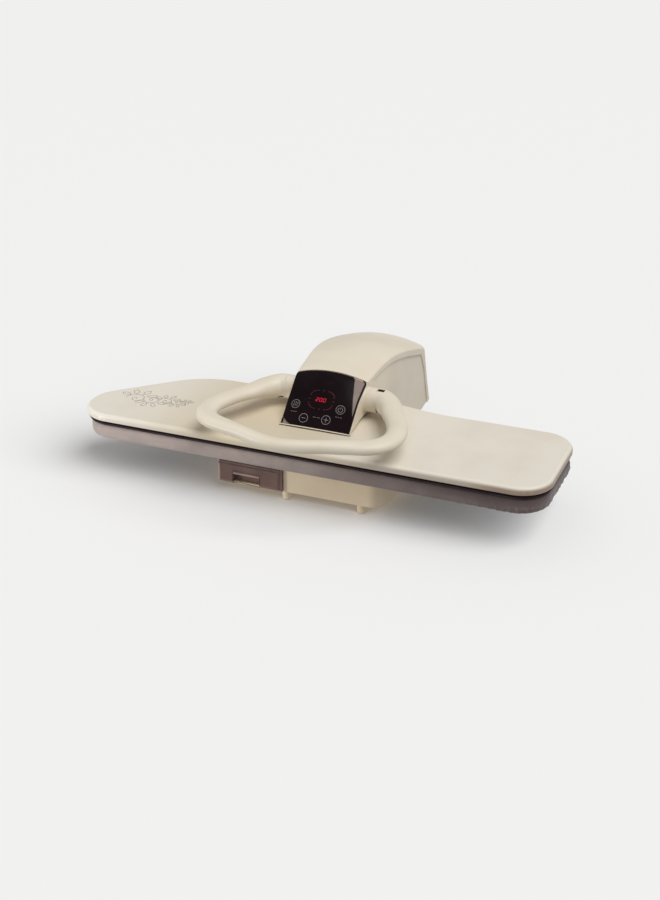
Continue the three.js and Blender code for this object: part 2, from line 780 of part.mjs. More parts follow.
function plateCover() {
  const outline = plateOutline(0);
  const half = boardLength / 2;
  const noseZone = noseCut + frontLeftRadius;
  const endZone = rightRadius * endZoneShare;
  const xs = [
    ...Array.from({ length: noseSteps }, (_, i) => -half + noseZone * (i / noseSteps) ** columnPower),
    ...Array.from({ length: fieldSteps }, (_, i) => -half + noseZone
      + ((2 * half - noseZone - endZone) * i) / fieldSteps),
    ...Array.from({ length: endSteps + 1 }, (_, i) => half - endZone * (1 - i / endSteps) ** columnPower),
  ];
  const rowsAt = (low, high) => {
    const reach = Math.min(plateEdgeRadius, (high - low) / 3);
    const edge = plateEdgeShares.map((share) => share * reach);
    const field = Array.from({ length: rowSteps - 1 }, (_, i) =>
      low + reach + ((high - low - 2 * reach) * (i + 1)) / rowSteps);
    return [...edge.map((d) => low + d), ...field, ...edge.map((d) => high - d).reverse()];
  };
  const points = [];
  const columns = xs.map((x) => rowsAt(...spanAt(outline, x))
    .map((y) => points.push(new THREE.Vector3(x, y, coverHeight(outline, x, y))) - 1));
  const faces = [];
  const rows = columns[0].length;
  for (let i = 0; i + 1 < columns.length; i += 1) {
    for (let j = 0; j + 1 < rows; j += 1) {
      const [a, b, c, d] = [columns[i][j], columns[i + 1][j], columns[i + 1][j + 1], columns[i][j + 1]];
      faces.push(a, b, c, a, c, d);
    }
  }
  const rim = [
    ...columns.map((column) => column[0]), ...columns.at(-1).slice(1),
    ...columns.slice(0, -1).map((column) => column.at(-1)).reverse(), ...columns[0].slice(1, -1).reverse(),
  ];
  const rimPoints = rim.map((index) => points[index]);
  const lower = rimPoints.map((p) => points.push(p.clone().setZ(coverBottom)) - 1);
  rim.forEach((a, k) => {
    const n = (k + 1) % rim.length;
    faces.push(a, lower[k], lower[n], a, lower[n], rim[n]);
  });
  const middle = points.length;
  points.push(new THREE.Vector3(0, boardDepth / 2, coverBottom));
  lower.forEach((a, k) => faces.push(a, middle, lower[(k + 1) % lower.length]));
  const full = skin(points, faces);
  const hollow = slab(plateOutline(plateCoverWall), coverBottom - overrun, coverTop - plateCoverWall * 1.5);
  const slot = block(-yokeHalfWidth - overrun, yokeHalfWidth + overrun,
    leverY - lobeOffset - yokeDepth / 2 - overrun, leverY - lobeOffset + yokeDepth / 2 + overrun,
    coverBottom, coverTop + humpHeight * 2);
  return cut(full, hollow, slot);
}

function plateYoke() {
  const top = leverZ - lobeRadius - fit;
  const bottom = frameTop + fit;
  const outline = [
    [-yokeHalfWidth, bottom], [-yokeHalfWidth + yokeLeg, bottom], [-yokeHalfWidth + yokeLeg, top - yokeBar],
    [yokeHalfWidth - yokeLeg, top - yokeBar], [yokeHalfWidth - yokeLeg, bottom], [yokeHalfWidth, bottom],
    [yokeHalfWidth, top], [-yokeHalfWidth, top],
  ].map(([x, z]) => new THREE.Vector2(x, z));
  return new THREE.ExtrudeGeometry(new THREE.Shape(outline), { depth: yokeDepth, bevelEnabled: false })
    .rotateX(Math.PI / 2).translate(0, leverY - lobeOffset + yokeDepth / 2, 0);
}

/** U-shaped heating tube that lies on the frame, with both of its ends near the head. */
function heatingElement() {
  const z = frameTop + fit + elementRadius;
  const front = elementInset;
  const rear = boardDepth - elementInset;
  const bend = (rear - front) / 2;
  const far = boardLength / 2 - elementEnds;
  const route = new THREE.CurvePath();
  const at = (x, y) => new THREE.Vector3(x, y, z);
  const turn = (x, side) => new THREE.CatmullRomCurve3(Array.from({ length: elementBendSteps + 1 }, (_, i) => {
    const angle = (Math.PI * i) / elementBendSteps;
    return at(x + side * bend * Math.sin(angle), front + bend - bend * Math.cos(angle));
  }));
  route.add(new THREE.LineCurve3(at(elementEnds, front), at(far, front)));
  route.add(turn(far, 1));
  route.add(new THREE.LineCurve3(at(far, rear), at(elementEnds, rear)));
  const section = new THREE.Shape(Array.from({ length: elementSides }, (_, i) =>
    new THREE.Vector2(elementRadius, 0).rotateAround(new THREE.Vector2(), (2 * Math.PI * i) / elementSides)));
  return new THREE.ExtrudeGeometry(section, { steps: elementSteps, bevelEnabled: false, extrudePath: route });
}

// Base

const baseCorners = [
  corner(-bayRight, baseFront),
  corner(baseFrontRight, baseFront, baseCornerRadius),
  corner(baseRight, baseRightTurn, baseSideRadius),
  corner(baseRight, baseRear, baseSmallRadius),
  corner(neckHalfWidth, baseRear),
  corner(neckHalfWidth, neckRear, neckRadius),
  corner(-neckHalfWidth, neckRear, neckRadius),
  corner(-neckHalfWidth, baseRear),
  corner(-bayLeft, baseRear, baseSmallRadius),
  corner(-bayLeft, bayRear),
  corner(-bayRight, bayRear),
];
const housingTop = boardUnderside - fit;

function baseHousing() {
  const outer = slab(rounded(baseCorners), footHeight, housingTop);
  const inner = slab(rounded(insetCorners(baseCorners, baseWall)), footHeight - overrun, housingTop + overrun);
  const neckRoof = cut(
    block(-neckHalfWidth + baseWall / 2, neckHalfWidth - baseWall / 2, boardDepth + overrun,
      neckRear - baseWall / 2, neckHeight - baseWall, neckHeight),
    ...[-1, 1].map((side) => towerPlate(side, fit)),
  );
  const neckTrim = block(-neckHalfWidth * 2, neckHalfWidth * 2, boardDepth - overrun, neckRear + overrun,
    neckHeight, housingTop + overrun);
  const shelf = block(-bayLeft, -bayRight + baseWall / 2, baseFront, bayRear + baseWall / 2,
    footHeight, footHeight + baseWall);
  const bayWall = block(-bayLeft, -bayLeft + baseWall, baseFront, bayRear + baseWall / 2,
    footHeight, housingTop);
  const shell = join(cut(outer, inner), shelf, bayWall, neckRoof);
  const valveWay = rodAlongY(valveRadius + fit, valveX, bayRear - overrun, bayRear + baseWall + overrun, valveHeight);
  const inletWay = rodAlongY(inletRadius + fit, inletX, neckRear - baseWall - overrun, neckRear + overrun, inletZ);
  return cut(shell, neckTrim, valveWay, inletWay);
}

const floorBottom = footHeight + fit;
const floorTop = floorBottom + baseFloorSheet;

function baseFloor() {
  return slab(rounded(insetCorners(baseCorners, baseWall + fit)), floorBottom, floorTop);
}

/** Steel upright beside the arm: a foot in the base and a round boss about the hinge. */
function towerPlate(side, grow = 0) {
  const boss = towerBossRadius + grow;
  const outline = [
    [towerFootFront - grow, floorTop + fit], [towerFootRear + grow, floorTop + fit],
    [towerFootRear + grow, neckHeight + fit],
  ].map(([y, z]) => new THREE.Vector2(y, z));
  for (let i = 0; i <= bossSteps; i += 1) {
    const angle = -Math.PI / 6 + ((Math.PI * 7) / 6) * (i / bossSteps);
    outline.push(new THREE.Vector2(hingeY + boss * Math.cos(angle), hingeZ + boss * Math.sin(angle)));
  }
  outline.push(new THREE.Vector2(towerFootFront - grow, neckHeight + fit));
  const ends = [side * (towerInner - grow), side * (towerInner + towerSheet + grow)].sort((a, b) => a - b);
  return sidePlate(outline, ends[0], ends[1]);
}

const hingeTower = (side) => cut(towerPlate(side),
  rodAlongX(hingeShaftRadius + fit, -neckHalfWidth * 2, neckHalfWidth * 2, hingeY, hingeZ));

// Tank

const valveX = -bayRight - valveSetback;
const tankBottom = footHeight + baseWall + fit;
const tankLeft = -bayLeft + baseWall + fit * 2;
const tankRight = -bayRight - fit * 2;

function tankBody() {
  const front = block(-bayLeft, -bayRight - fit, tankFront, tankFront + tankFrontSheet,
    footHeight + tankFrontDrop, tankFrontTop);
  const shell = cut(
    block(tankLeft, tankRight, tankFront + tankFrontSheet / 2, tankRear, tankBottom, tankTop),
    block(tankLeft + tankWall, tankRight - tankWall, tankFront + tankFrontSheet, tankRear - tankWall,
      tankBottom + tankWall, tankTop + overrun));
  const pocketBack = block(-gripLeft - tankWall, -gripRight + tankWall, tankFront + tankFrontSheet / 2,
    tankFront + gripDepth + tankWall, tankBottom, gripTop + tankWall);
  const pocket = block(-gripLeft, -gripRight, tankFront + tankFrontSheet, tankFront + gripDepth,
    footHeight - overrun, gripTop);
  const mouth = block(-gripLeft, -gripRight, tankFront - overrun, tankFront + tankFrontSheet * 1.5,
    footHeight - overrun, gripTop - gripLip);
  const valveHole = rodAlongY(valveRadius - tankWall, valveX, tankRear - tankWall - overrun, tankRear + overrun,
    valveHeight);
  return cut(join(front, shell, pocketBack), pocket, mouth, valveHole);
}

function tankLid() {
  const lidBottom = tankTop + fit;
  const lid = block(tankLeft, tankRight, tankFront + tankFrontSheet + fit, tankRear, lidBottom,
    lidBottom + tankLidSheet);
  const filler = block(tankLeft + fillerSetback, tankLeft + fillerSetback + fillerLength,
    tankFront + gripDepth + fillerSetback, tankFront + gripDepth + fillerSetback + fillerDepth,
    lidBottom - overrun, lidBottom + overrun * 2);
  return cut(lid, filler);
}

function tankValve() {
  const seat = tankRear + fit;
  const body = rodAlongY(valveRadius - fit, valveX, seat, seat + valveLength, valveHeight, smallSides);
  const stem = rodAlongY(valveRadius - tankWall - fit, valveX, tankRear - tankWall * 2, seat + valveLength / 2,
    valveHeight, smallSides);
  return join(body, stem);
}

// Springs

/** Centre line of a lift spring: a leg over the anchor, an unbroken helix, and a leg under the rear cross rod. */
function springRoute(side) {
  const steps = Math.round(springTurns * springTurnSteps);
  const coil = Array.from({ length: steps + 1 }, (_, i) => {
    const angle = -Math.PI / 2 + (2 * Math.PI * springTurns * i) / steps;
    return new THREE.Vector3(side * (springInner + (springPitch * springTurns * i) / steps),
      hingeY + springCoilRadius * Math.cos(angle), hingeZ + springCoilRadius * Math.sin(angle));
  });
  const legEnd = (point, y) => point.clone().setY(y);
  const anchorEnd = legEnd(coil[0], hingeY - anchorSetback - anchorRadius);
  const rodEnd = legEnd(coil.at(-1), hingeY - rearRodSetback - crossRodRadius);
  return [anchorEnd, ...coil, rodEnd];
}

/** Least gap between turns that lie half a turn or more apart. */
function springGap(route) {
  const apart = springTurnSteps / 2;
  let least = Infinity;
  route.forEach((p, i) => route.slice(i + apart + 1)
    .forEach((q) => { least = Math.min(least, p.distanceTo(q) - 2 * springWire); }));
  return least;
}

const liftSpring = (side) => tube(springRoute(side), springWire, springWireSides);

/** Tube through points, with a round section that turns with the path. */
function tube(points, radius, sides) {
  let normal = new THREE.Vector3(1, 0, 0);
  return loft(points.map((p, i) => {
    const ahead = points[Math.min(i + 1, points.length - 1)];
    const behind = points[Math.max(i - 1, 0)];
    const along = ahead.clone().sub(behind).normalize();
    normal = normal.clone().addScaledVector(along, -normal.dot(along)).normalize();
    const other = new THREE.Vector3().crossVectors(along, normal);
    return Array.from({ length: sides }, (_, j) => {
      const angle = (2 * Math.PI * j) / sides;
      return p.clone().addScaledVector(normal, radius * Math.cos(angle))
        .addScaledVector(other, radius * Math.sin(angle));
    });
  }));
}

// Arm

function armPlate(side) {
  const reach = armBossRadius;
  const outline = [
    [leverY - reach, leverZ - reach], [leverY + reach, leverZ - reach - fit],
    [skirtFrontTop, headUndersideHeight + headBaseSheet * 3],
    [hingeY - reach * 3, hingeZ + reach / 2], [hingeY - reach, hingeZ - reach / 2],
  ].map(([y, z]) => new THREE.Vector2(y, z));
  for (let i = 0; i <= bossSteps; i += 1) {
    const angle = -Math.PI / 2 + ((Math.PI * 3) / 4) * (i / bossSteps);
    outline.push(new THREE.Vector2(hingeY + reach * Math.cos(angle), hingeZ + reach * Math.sin(angle)));
  }
  outline.push(
    new THREE.Vector2(hingeY - reach, archCurve.getPoint(armTopShare).y - reach),
    new THREE.Vector2(skirtFrontTop, headBottom + archRise - reach),
    new THREE.Vector2(leverY + reach, leverZ + reach), new THREE.Vector2(leverY - reach, leverZ + reach / 2),
  );
  const ends = [side * armInner, side * (armInner + armSheet)].sort((a, b) => a - b);
  return cut(sidePlate(outline, ends[0], ends[1]),
    rodAlongX(bushRadius + fit, -neckHalfWidth, neckHalfWidth, hingeY, hingeZ),
    rodAlongX(leverShaftRadius + fit, -neckHalfWidth, neckHalfWidth, leverY, leverZ),
    ...crossRods.map(({ y, z }) => rodAlongX(crossRodRadius + fit, -neckHalfWidth, neckHalfWidth, y, z)));
}

const crossRods = [
  { name: 'cross_rod_front', y: leverY + armBossRadius * 4, z: headBottom + archRise / 2 },
  {
    name: 'cross_rod_rear',
    y: hingeY - rearRodSetback,
    z: hingeZ + springCoilRadius + springWire + fit + crossRodRadius,
  },
];

function crossRod({ y, z }) {
  const reach = halfWidthAt(y - crossRodRadius) - hoodSideWall - fit;
  return rodAlongX(crossRodRadius, -reach, reach, y, z);
}

function hingeBush(side) {
  const ends = [side * (armInner - bushOverhang), side * (towerInner - fit)].sort((a, b) => a - b);
  return cut(rodAlongX(bushRadius, ends[0], ends[1], hingeY, hingeZ),
    rodAlongX(hingeShaftRadius + fit, ends[0] - overrun, ends[1] + overrun, hingeY, hingeZ));
}

function headBase() {
  const lip = headBottom + lipClearance;
  const slope = (headUndersideHeight - lip) / (headUndersideRear - headFront - lipReach);
  const front = headFront + glassPocket + hoodWall * 4;
  const lower = [
    [front, lip + slope * (front - headFront - lipReach)], [headUndersideRear, headUndersideHeight],
    [skirtFrontTop - hoodWall, headUndersideHeight],
  ];
  const outline = [...lower, ...lower.map(([y, z]) => [y, z + headBaseSheet]).reverse()]
    .map(([y, z]) => new THREE.Vector2(y, z));
  const reach = headHalfWidth - hoodSideWall - fit;
  return cut(sidePlate(outline, -reach, reach),
    block(-yokeHalfWidth - overrun, yokeHalfWidth + overrun, leverY - lobeOffset - yokeDepth / 2 - overrun,
      leverY - lobeOffset + yokeDepth / 2 + overrun, 0, headUndersideHeight * 2));
}

function eccentric(side) {
  const ends = [side * lobeInner, side * (lobeInner + lobeWidth)].sort((a, b) => a - b);
  return cut(rodAlongX(lobeRadius, ends[0], ends[1], leverY - lobeOffset, leverZ, turnSteps),
    rodAlongX(leverShaftRadius + fit, ends[0] - overrun, ends[1] + overrun, leverY, leverZ));
}

// Panel

const panelShares = [lipTopShare + panelInsetShare, panelTopShare - panelInsetShare];
const panelReach = (share) => halfWidthAt(archCurve.getPoint(share).x) - fit;
const panelHeightShare = (share) => (share - panelShares[0]) / (panelShares[1] - panelShares[0]);
const glassOuter = panelStandIn;
const glassInner = glassOuter - glassThickness;

function panelGlass() {
  return archSlab(panelShares, glassSteps, glassInner, glassOuter, (share) => {
    const up = panelHeightShare(share);
    return [
      -panelReach(share) + crescentLeft * (1 - THREE.MathUtils.smoothstep(up, 0, crescentLeftShare)) ** crescentPower,
      panelReach(share) - crescentRight * THREE.MathUtils.smoothstep(up, crescentRightShare, 1) ** crescentPower,
    ];
  });
}

const panelBezel = () => archSlab(panelShares, archStations / 2, glassInner - fit - bezelThickness,
  glassInner - fit, (share) => [-panelReach(share), panelReach(share)]);

// Cord inlet, pump and hose

function cordInlet() {
  const body = rodAlongY(inletRadius, inletX, neckRear - inletLength, neckRear + fit * 2, inletZ);
  const flange = rodAlongY(inletFlange, inletX, neckRear + fit, neckRear + fit + baseWall, inletZ);
  const way = rodAlongY(hoseRadius, inletX, neckRear - inletLength * 2, neckRear + inletLength, inletZ, smallSides);
  return cut(join(body, flange), way);
}

function tankCoupling() {
  const start = tankRear + fit * 2 + valveLength;
  const body = rodAlongY(valveRadius, valveX, start, bayRear + baseWall * 3, valveHeight, smallSides);
  const flange = rodAlongY(valveRadius + baseWall, valveX, bayRear + baseWall + fit, bayRear + baseWall * 2,
    valveHeight, smallSides);
  return join(body, flange);
}

function suctionHose() {
  const start = bayRear + baseWall * 3 + fit * 2;
  const route = new THREE.CatmullRomCurve3([
    new THREE.Vector3(valveX, start, valveHeight), new THREE.Vector3(valveX, start + hoseRadius * 3, valveHeight),
    new THREE.Vector3(valveX + hoseRadius * 10, start + hoseRadius * 6, valveHeight),
    new THREE.Vector3(pumpX - pumpRadius, start + hoseRadius * 4, pumpZ),
    new THREE.Vector3(pumpX, pumpY + pumpLength / 2 + hoseRadius * 4, pumpZ),
    new THREE.Vector3(pumpX, pumpY + pumpLength / 2 + fit, pumpZ),
  ]);
  return tube(route.getPoints(hoseSteps), hoseRadius, hoseSides);
}

const pumpZ = floorTop + fit + pumpRadius;

// Assembly

const press = new THREE.Group();

function add(name, geometry, material) {
  const mesh = new THREE.Mesh(weld(geometry), material);
  mesh.name = name;
  press.add(mesh);
  return mesh;
}

add('base_housing', baseHousing(), warmCream);
add('base_floor', baseFloor(), warmCream);
const feet = {
  front_left: [footFrontLeftX, footFrontY], front_right: [footFrontRightX, footFrontY],
  rear_left: [-footRearX, footRearY], rear_right: [footRearX, footRearY],
};
for (const [place, [x, y]] of Object.entries(feet)) {
  add(`foot_${place}`, rodAlongZ(footRadius, x, y, footPadHeight + fit, footHeight - fit), warmCream);
  add(`foot_pad_${place}`, rodAlongZ(footPadRadius, x, y, 0, footPadHeight), rubber);
}
add('board_pan', boardPan(), galvanised);
add('board_pad', boardPad(), felt);
add('board_cover', boardCover(), greyCloth);
add('hinge_tower_left', hingeTower(-1), steel);
add('hinge_tower_right', hingeTower(1), steel);
const shaftReach = towerInner + towerSheet + baseWall;
add('hinge_shaft', rodAlongX(hingeShaftRadius, -shaftReach, shaftReach, hingeY, hingeZ), steel);
add('lift_spring_left', liftSpring(-1), springSteel);
add('lift_spring_right', liftSpring(1), springSteel);
const anchorZ = hingeZ - springCoilRadius - springWire - anchorRadius - fit;
add('spring_anchor', rodAlongX(anchorRadius, -towerInner + fit, towerInner - fit, hingeY - anchorSetback, anchorZ),
  steel);
add('water_pump', rodAlongY(pumpRadius, pumpX, pumpY - pumpLength / 2, pumpY + pumpLength / 2, pumpZ), blackPlastic);
add('suction_hose', suctionHose(), hoseWhite);
add('tank_coupling', tankCoupling(), blackPlastic);
add('power_board', block(powerLeft, powerRight, powerFront, powerRear, floorTop + fit,
  floorTop + fit + boardSheet), circuitGreen);
add('cord_inlet', cordInlet(), rubber);

add('arm_plate_left', armPlate(-1), steel);
add('arm_plate_right', armPlate(1), steel);
add('hinge_bush_left', hingeBush(-1), brass);
add('hinge_bush_right', hingeBush(1), brass);
for (const rod of crossRods) add(rod.name, crossRod(rod), steel);
add('hood_shell', hoodShell(), cream);
add('hood_side_right', sideInsetSolid(1, sideRecess - fit, -sideRecess + fit + sideCover, fit), cream);
add('hood_side_left', sideInsetSolid(-1, sideRecess - fit, -sideRecess + fit + sideCover, fit), cream);
add('head_base', headBase(), cream);
add('panel_bezel', panelBezel(), silver);
add('panel_glass', panelGlass(), glassBlack);
const circuitOuter = -glassPocket - hoodWall - fit * 3;
add('panel_board', archSlab(circuitShares, circuitSteps, circuitOuter - boardSheet, circuitOuter,
  () => [-circuitHalfWidth, circuitHalfWidth]), circuitGreen);
add('led_display', archSlab(displayShares.map((share, i) => share + (i ? -1 : 1) * displayInsetShare), displaySteps,
  circuitOuter + fit * 2, -glassPocket - fit, () => [-displayHalfWidth, displayHalfWidth]), displayRed);
add('yoke_guide', block(-armInner + fit, armInner - fit, leverY - lobeOffset + yokeDepth / 2 + fit,
  leverY + armBossRadius - fit, headUndersideHeight + headBaseSheet + fit,
  headUndersideHeight + headBaseSheet + fit + yokeBar), aluminium);

add('plate_cover', plateCover(), cream);
add('plate_frame', slab(plateOutline(frameInset), soleTop + fit, frameTop), blackPlastic);
add('sole_plate', solePlate(), soleCoat);
add('heating_element', heatingElement(), steel);
add('steam_chamber', block(-chamberHalf, chamberHalf, chamberFront, chamberRear, frameTop + fit,
  frameTop + fit + chamberHeight), aluminium);
add('plate_yoke', plateYoke(), steel);

add('handle_ring', handleRing(), cream);
const leverReach = hubFace + hubRadius - notchDepth - fit;
add('handle_shaft', rodAlongX(leverShaftRadius, -leverReach, leverReach, leverY, leverZ), steel);
add('eccentric_left', eccentric(-1), steel);
add('eccentric_right', eccentric(1), steel);

add('tank_body', tankBody(), smoke);
add('tank_lid', tankLid(), smoke);
add('tank_valve', tankValve(), blackPlastic);
add('filter_cartridge', block(tankRight - tankWall - fit - filterWidth, tankRight - tankWall - fit,
  tankRear - tankWall - fit - filterDepth, tankRear - tankWall * 2 - fit * 2, tankBottom + tankWall + fit,
  tankBottom + tankWall + fit + filterHeight), hoseWhite);

// The origin is the middle of the footprint, on the table
press.updateMatrixWorld(true);
const bounds = new THREE.Box3().setFromObject(press);
const middle = bounds.getCenter(new THREE.Vector3());
press.position.set(-middle.x, -middle.y, -bounds.min.z);

console.log(`lift spring: least gap between turns ${springGap(springRoute(1)).toFixed(2)} mm`);

export default press;
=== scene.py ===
"""Table-top ironing press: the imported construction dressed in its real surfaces.

Lengths are metres. X runs along the board, the user stands at -Y and Z is up. Every shape is worked out in
the bench frame, whose Y starts at the front edge of the plate cover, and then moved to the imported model.
"""

import json
import logging
from dataclasses import dataclass, field
from enum import Enum
from math import cos, pi, radians, sin, tan
from typing import Any, Callable, Mapping, Sequence, Union

import bmesh
import bpy
import numpy as np
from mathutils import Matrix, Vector

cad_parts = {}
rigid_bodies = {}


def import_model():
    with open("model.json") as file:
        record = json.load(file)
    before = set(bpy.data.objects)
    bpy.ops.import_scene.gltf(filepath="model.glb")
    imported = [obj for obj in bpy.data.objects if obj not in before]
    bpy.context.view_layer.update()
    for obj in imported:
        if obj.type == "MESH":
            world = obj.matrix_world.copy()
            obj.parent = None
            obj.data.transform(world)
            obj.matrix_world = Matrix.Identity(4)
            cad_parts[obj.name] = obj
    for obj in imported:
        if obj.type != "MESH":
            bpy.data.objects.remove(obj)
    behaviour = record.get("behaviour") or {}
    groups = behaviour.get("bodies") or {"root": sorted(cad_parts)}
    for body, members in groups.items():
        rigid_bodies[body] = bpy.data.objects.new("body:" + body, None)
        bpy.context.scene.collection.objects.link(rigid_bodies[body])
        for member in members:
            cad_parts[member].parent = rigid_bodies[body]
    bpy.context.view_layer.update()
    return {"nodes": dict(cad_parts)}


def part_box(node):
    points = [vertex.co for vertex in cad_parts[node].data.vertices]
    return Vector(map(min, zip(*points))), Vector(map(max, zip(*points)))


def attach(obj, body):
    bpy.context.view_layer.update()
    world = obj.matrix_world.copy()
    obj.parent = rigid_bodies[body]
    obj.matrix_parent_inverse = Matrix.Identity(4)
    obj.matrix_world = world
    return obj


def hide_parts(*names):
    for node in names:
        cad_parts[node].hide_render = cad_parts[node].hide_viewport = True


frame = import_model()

LOG = logging.getLogger("ironing_press")
BENCH_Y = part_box("plate_cover")[0].y
INK_DEPTH = 0.00008
UP = np.array([0, 0, 1.0])

Array = np.ndarray
Colour = tuple[float, float, float]
Limits = tuple[float, float]
Place = tuple[float, float, float]


class Body(Enum):
    """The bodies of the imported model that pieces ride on."""

    BASE = "base"
    ARM = "press_arm"
    PLATE = "press_plate"
    HANDLE = "handle"
    TANK = "water_tank"


class Side(Enum):
    """Left and right of the press, as the sign of X."""

    LEFT = -1
    RIGHT = 1

    @property
    def word(self) -> str:
        """Name of the side, as the nodes spell it."""
        return self.name.lower()


def linear(red: int, green: int, blue: int) -> Colour:
    """Linear colour of a colour written as it looks on a screen, 0 to 255 a channel.

    Args:
        red: Red channel.
        green: Green channel.
        blue: Blue channel.

    Returns:
        The three linear channels.
    """
    channels = (c / 255 for c in (red, green, blue))
    return tuple(((c + 0.055) / 1.055) ** 2.4 if c > 0.04 else c / 12.92 for c in channels)


# Shader expressions


class Term:
    """A number that a shader works out; an expression on terms adds its Math nodes."""

    def __init__(self, shader: "Shader", socket: bpy.types.NodeSocket) -> None:
        """Wraps an output socket of one shader."""
        self.shader = shader
        self.socket = socket

    def math(self, operation: str, *values: Union["Term", float]) -> "Term":
        """Result of one Math node that works on values, in the order of its inputs."""
        node = self.shader.add("ShaderNodeMath", {"operation": operation}, dict(enumerate(values)))
        return Term(self.shader, node.outputs[0])

    def __add__(self, other: Union["Term", float]) -> "Term":
        """Sum."""
        return self.math("ADD", self, other)

    __radd__ = __add__

    def __sub__(self, other: Union["Term", float]) -> "Term":
        """Difference."""
        return self.math("SUBTRACT", self, other)

    def __rsub__(self, other: float) -> "Term":
        """Difference from a number."""
        return self.math("SUBTRACT", other, self)

    def __mul__(self, other: Union["Term", float]) -> "Term":
        """Product."""
        return self.math("MULTIPLY", self, other)

    __rmul__ = __mul__

    def sine(self) -> "Term":
        """Sine of the term."""
        return self.math("SINE", self)

    def size(self) -> "Term":
        """The term without its sign."""
        return self.math("ABSOLUTE", self)

    def ramp(self, low: float, high: float) -> "Term":
        """Smooth step: 0 below low, 1 above high."""
        node = self.shader.add("ShaderNodeMapRange", {"interpolation_type": "SMOOTHSTEP"},
                               {"Value": self, "From Min": low, "From Max": high})
        return Term(self.shader, node.outputs[0])


Value = Union[Term, float, Sequence[float], bpy.types.NodeSocket]


class Shader:
    """One material and the nodes that make it."""

    def __init__(self, name: str) -> None:
        """Starts an empty material.

        Args:
            name: Its name.
        """
        self.material = bpy.data.materials.new(name)
        self.material.use_nodes = True
        self.tree = self.material.node_tree
        self.tree.nodes.clear()
        self.place = self.add("ShaderNodeTexCoord").outputs["Object"]

    def add(self, kind: str, settings: Mapping[str, Any] = {},
            inputs: Mapping[Any, Value] = {}) -> bpy.types.Node:
        """Adds one node.

        Args:
            kind: The node's type.
            settings: Its properties, set first.
            inputs: Values or links of its sockets, by name or number.

        Returns:
            The node.
        """
        node = self.tree.nodes.new(kind)
        for key, value in settings.items():
            setattr(node, key, value)
        for key, value in inputs.items():
            socket = node.inputs[key]
            if isinstance(value, Term):
                self.tree.links.new(value.socket, socket)
            elif isinstance(value, bpy.types.NodeSocket):
                self.tree.links.new(value, socket)
            elif isinstance(value, (int, float)):
                socket.default_value = value
            else:
                socket.default_value = (*value, 1) if len(socket.default_value) == 4 else value
        return node

    def axis(self, name: str) -> Term:
        """One coordinate of the point in metres, by its name: X, Y or Z."""
        node = self.add("ShaderNodeSeparateXYZ", {}, {0: self.place})
        return Term(self, node.outputs[name])

    def noise(self, size: float, detail: float = 2.0, stretch: Sequence[float] = (1, 1, 1)) -> Term:
        """Smooth noise from 0 to 1.

        Args:
            size: Size of its lumps, in metres.
            detail: Octaves of finer noise.
            stretch: How much longer the lumps are along each axis.

        Returns:
            The noise.
        """
        scale = [1 / (size * s) for s in stretch]
        mapping = self.add("ShaderNodeMapping", {}, {"Vector": self.place, "Scale": scale})
        inputs = {"Vector": mapping.outputs[0], "Scale": 1.0, "Detail": detail}
        return Term(self, self.add("ShaderNodeTexNoise", {}, inputs).outputs[0])

    def mix(self, share: Value, first: Value, second: Value) -> bpy.types.NodeSocket:
        """Blend of two colours: the first where the share is 0, the second where it is 1."""
        node = self.add("ShaderNodeMix", {"data_type": "RGBA"}, {0: share, 6: first, 7: second})
        return node.outputs[2]

    def bump(self, height: Term, depth: float, strength: float = 1.0) -> bpy.types.NodeSocket:
        """Normal bent by a height from 0 to 1, whose 1 stands for the depth in metres."""
        node = self.add("ShaderNodeBump", {}, {"Height": height, "Distance": depth, "Strength": strength})
        return node.outputs[0]

    def surface(self, inputs: Mapping[Any, Value]) -> bpy.types.Material:
        """Ends the material with a Principled shader that has these inputs, and gives it back."""
        shader = self.add("ShaderNodeBsdfPrincipled", {}, inputs)
        self.add("ShaderNodeOutputMaterial", {}, {"Surface": shader.outputs[0]})
        return self.material


# Finishes


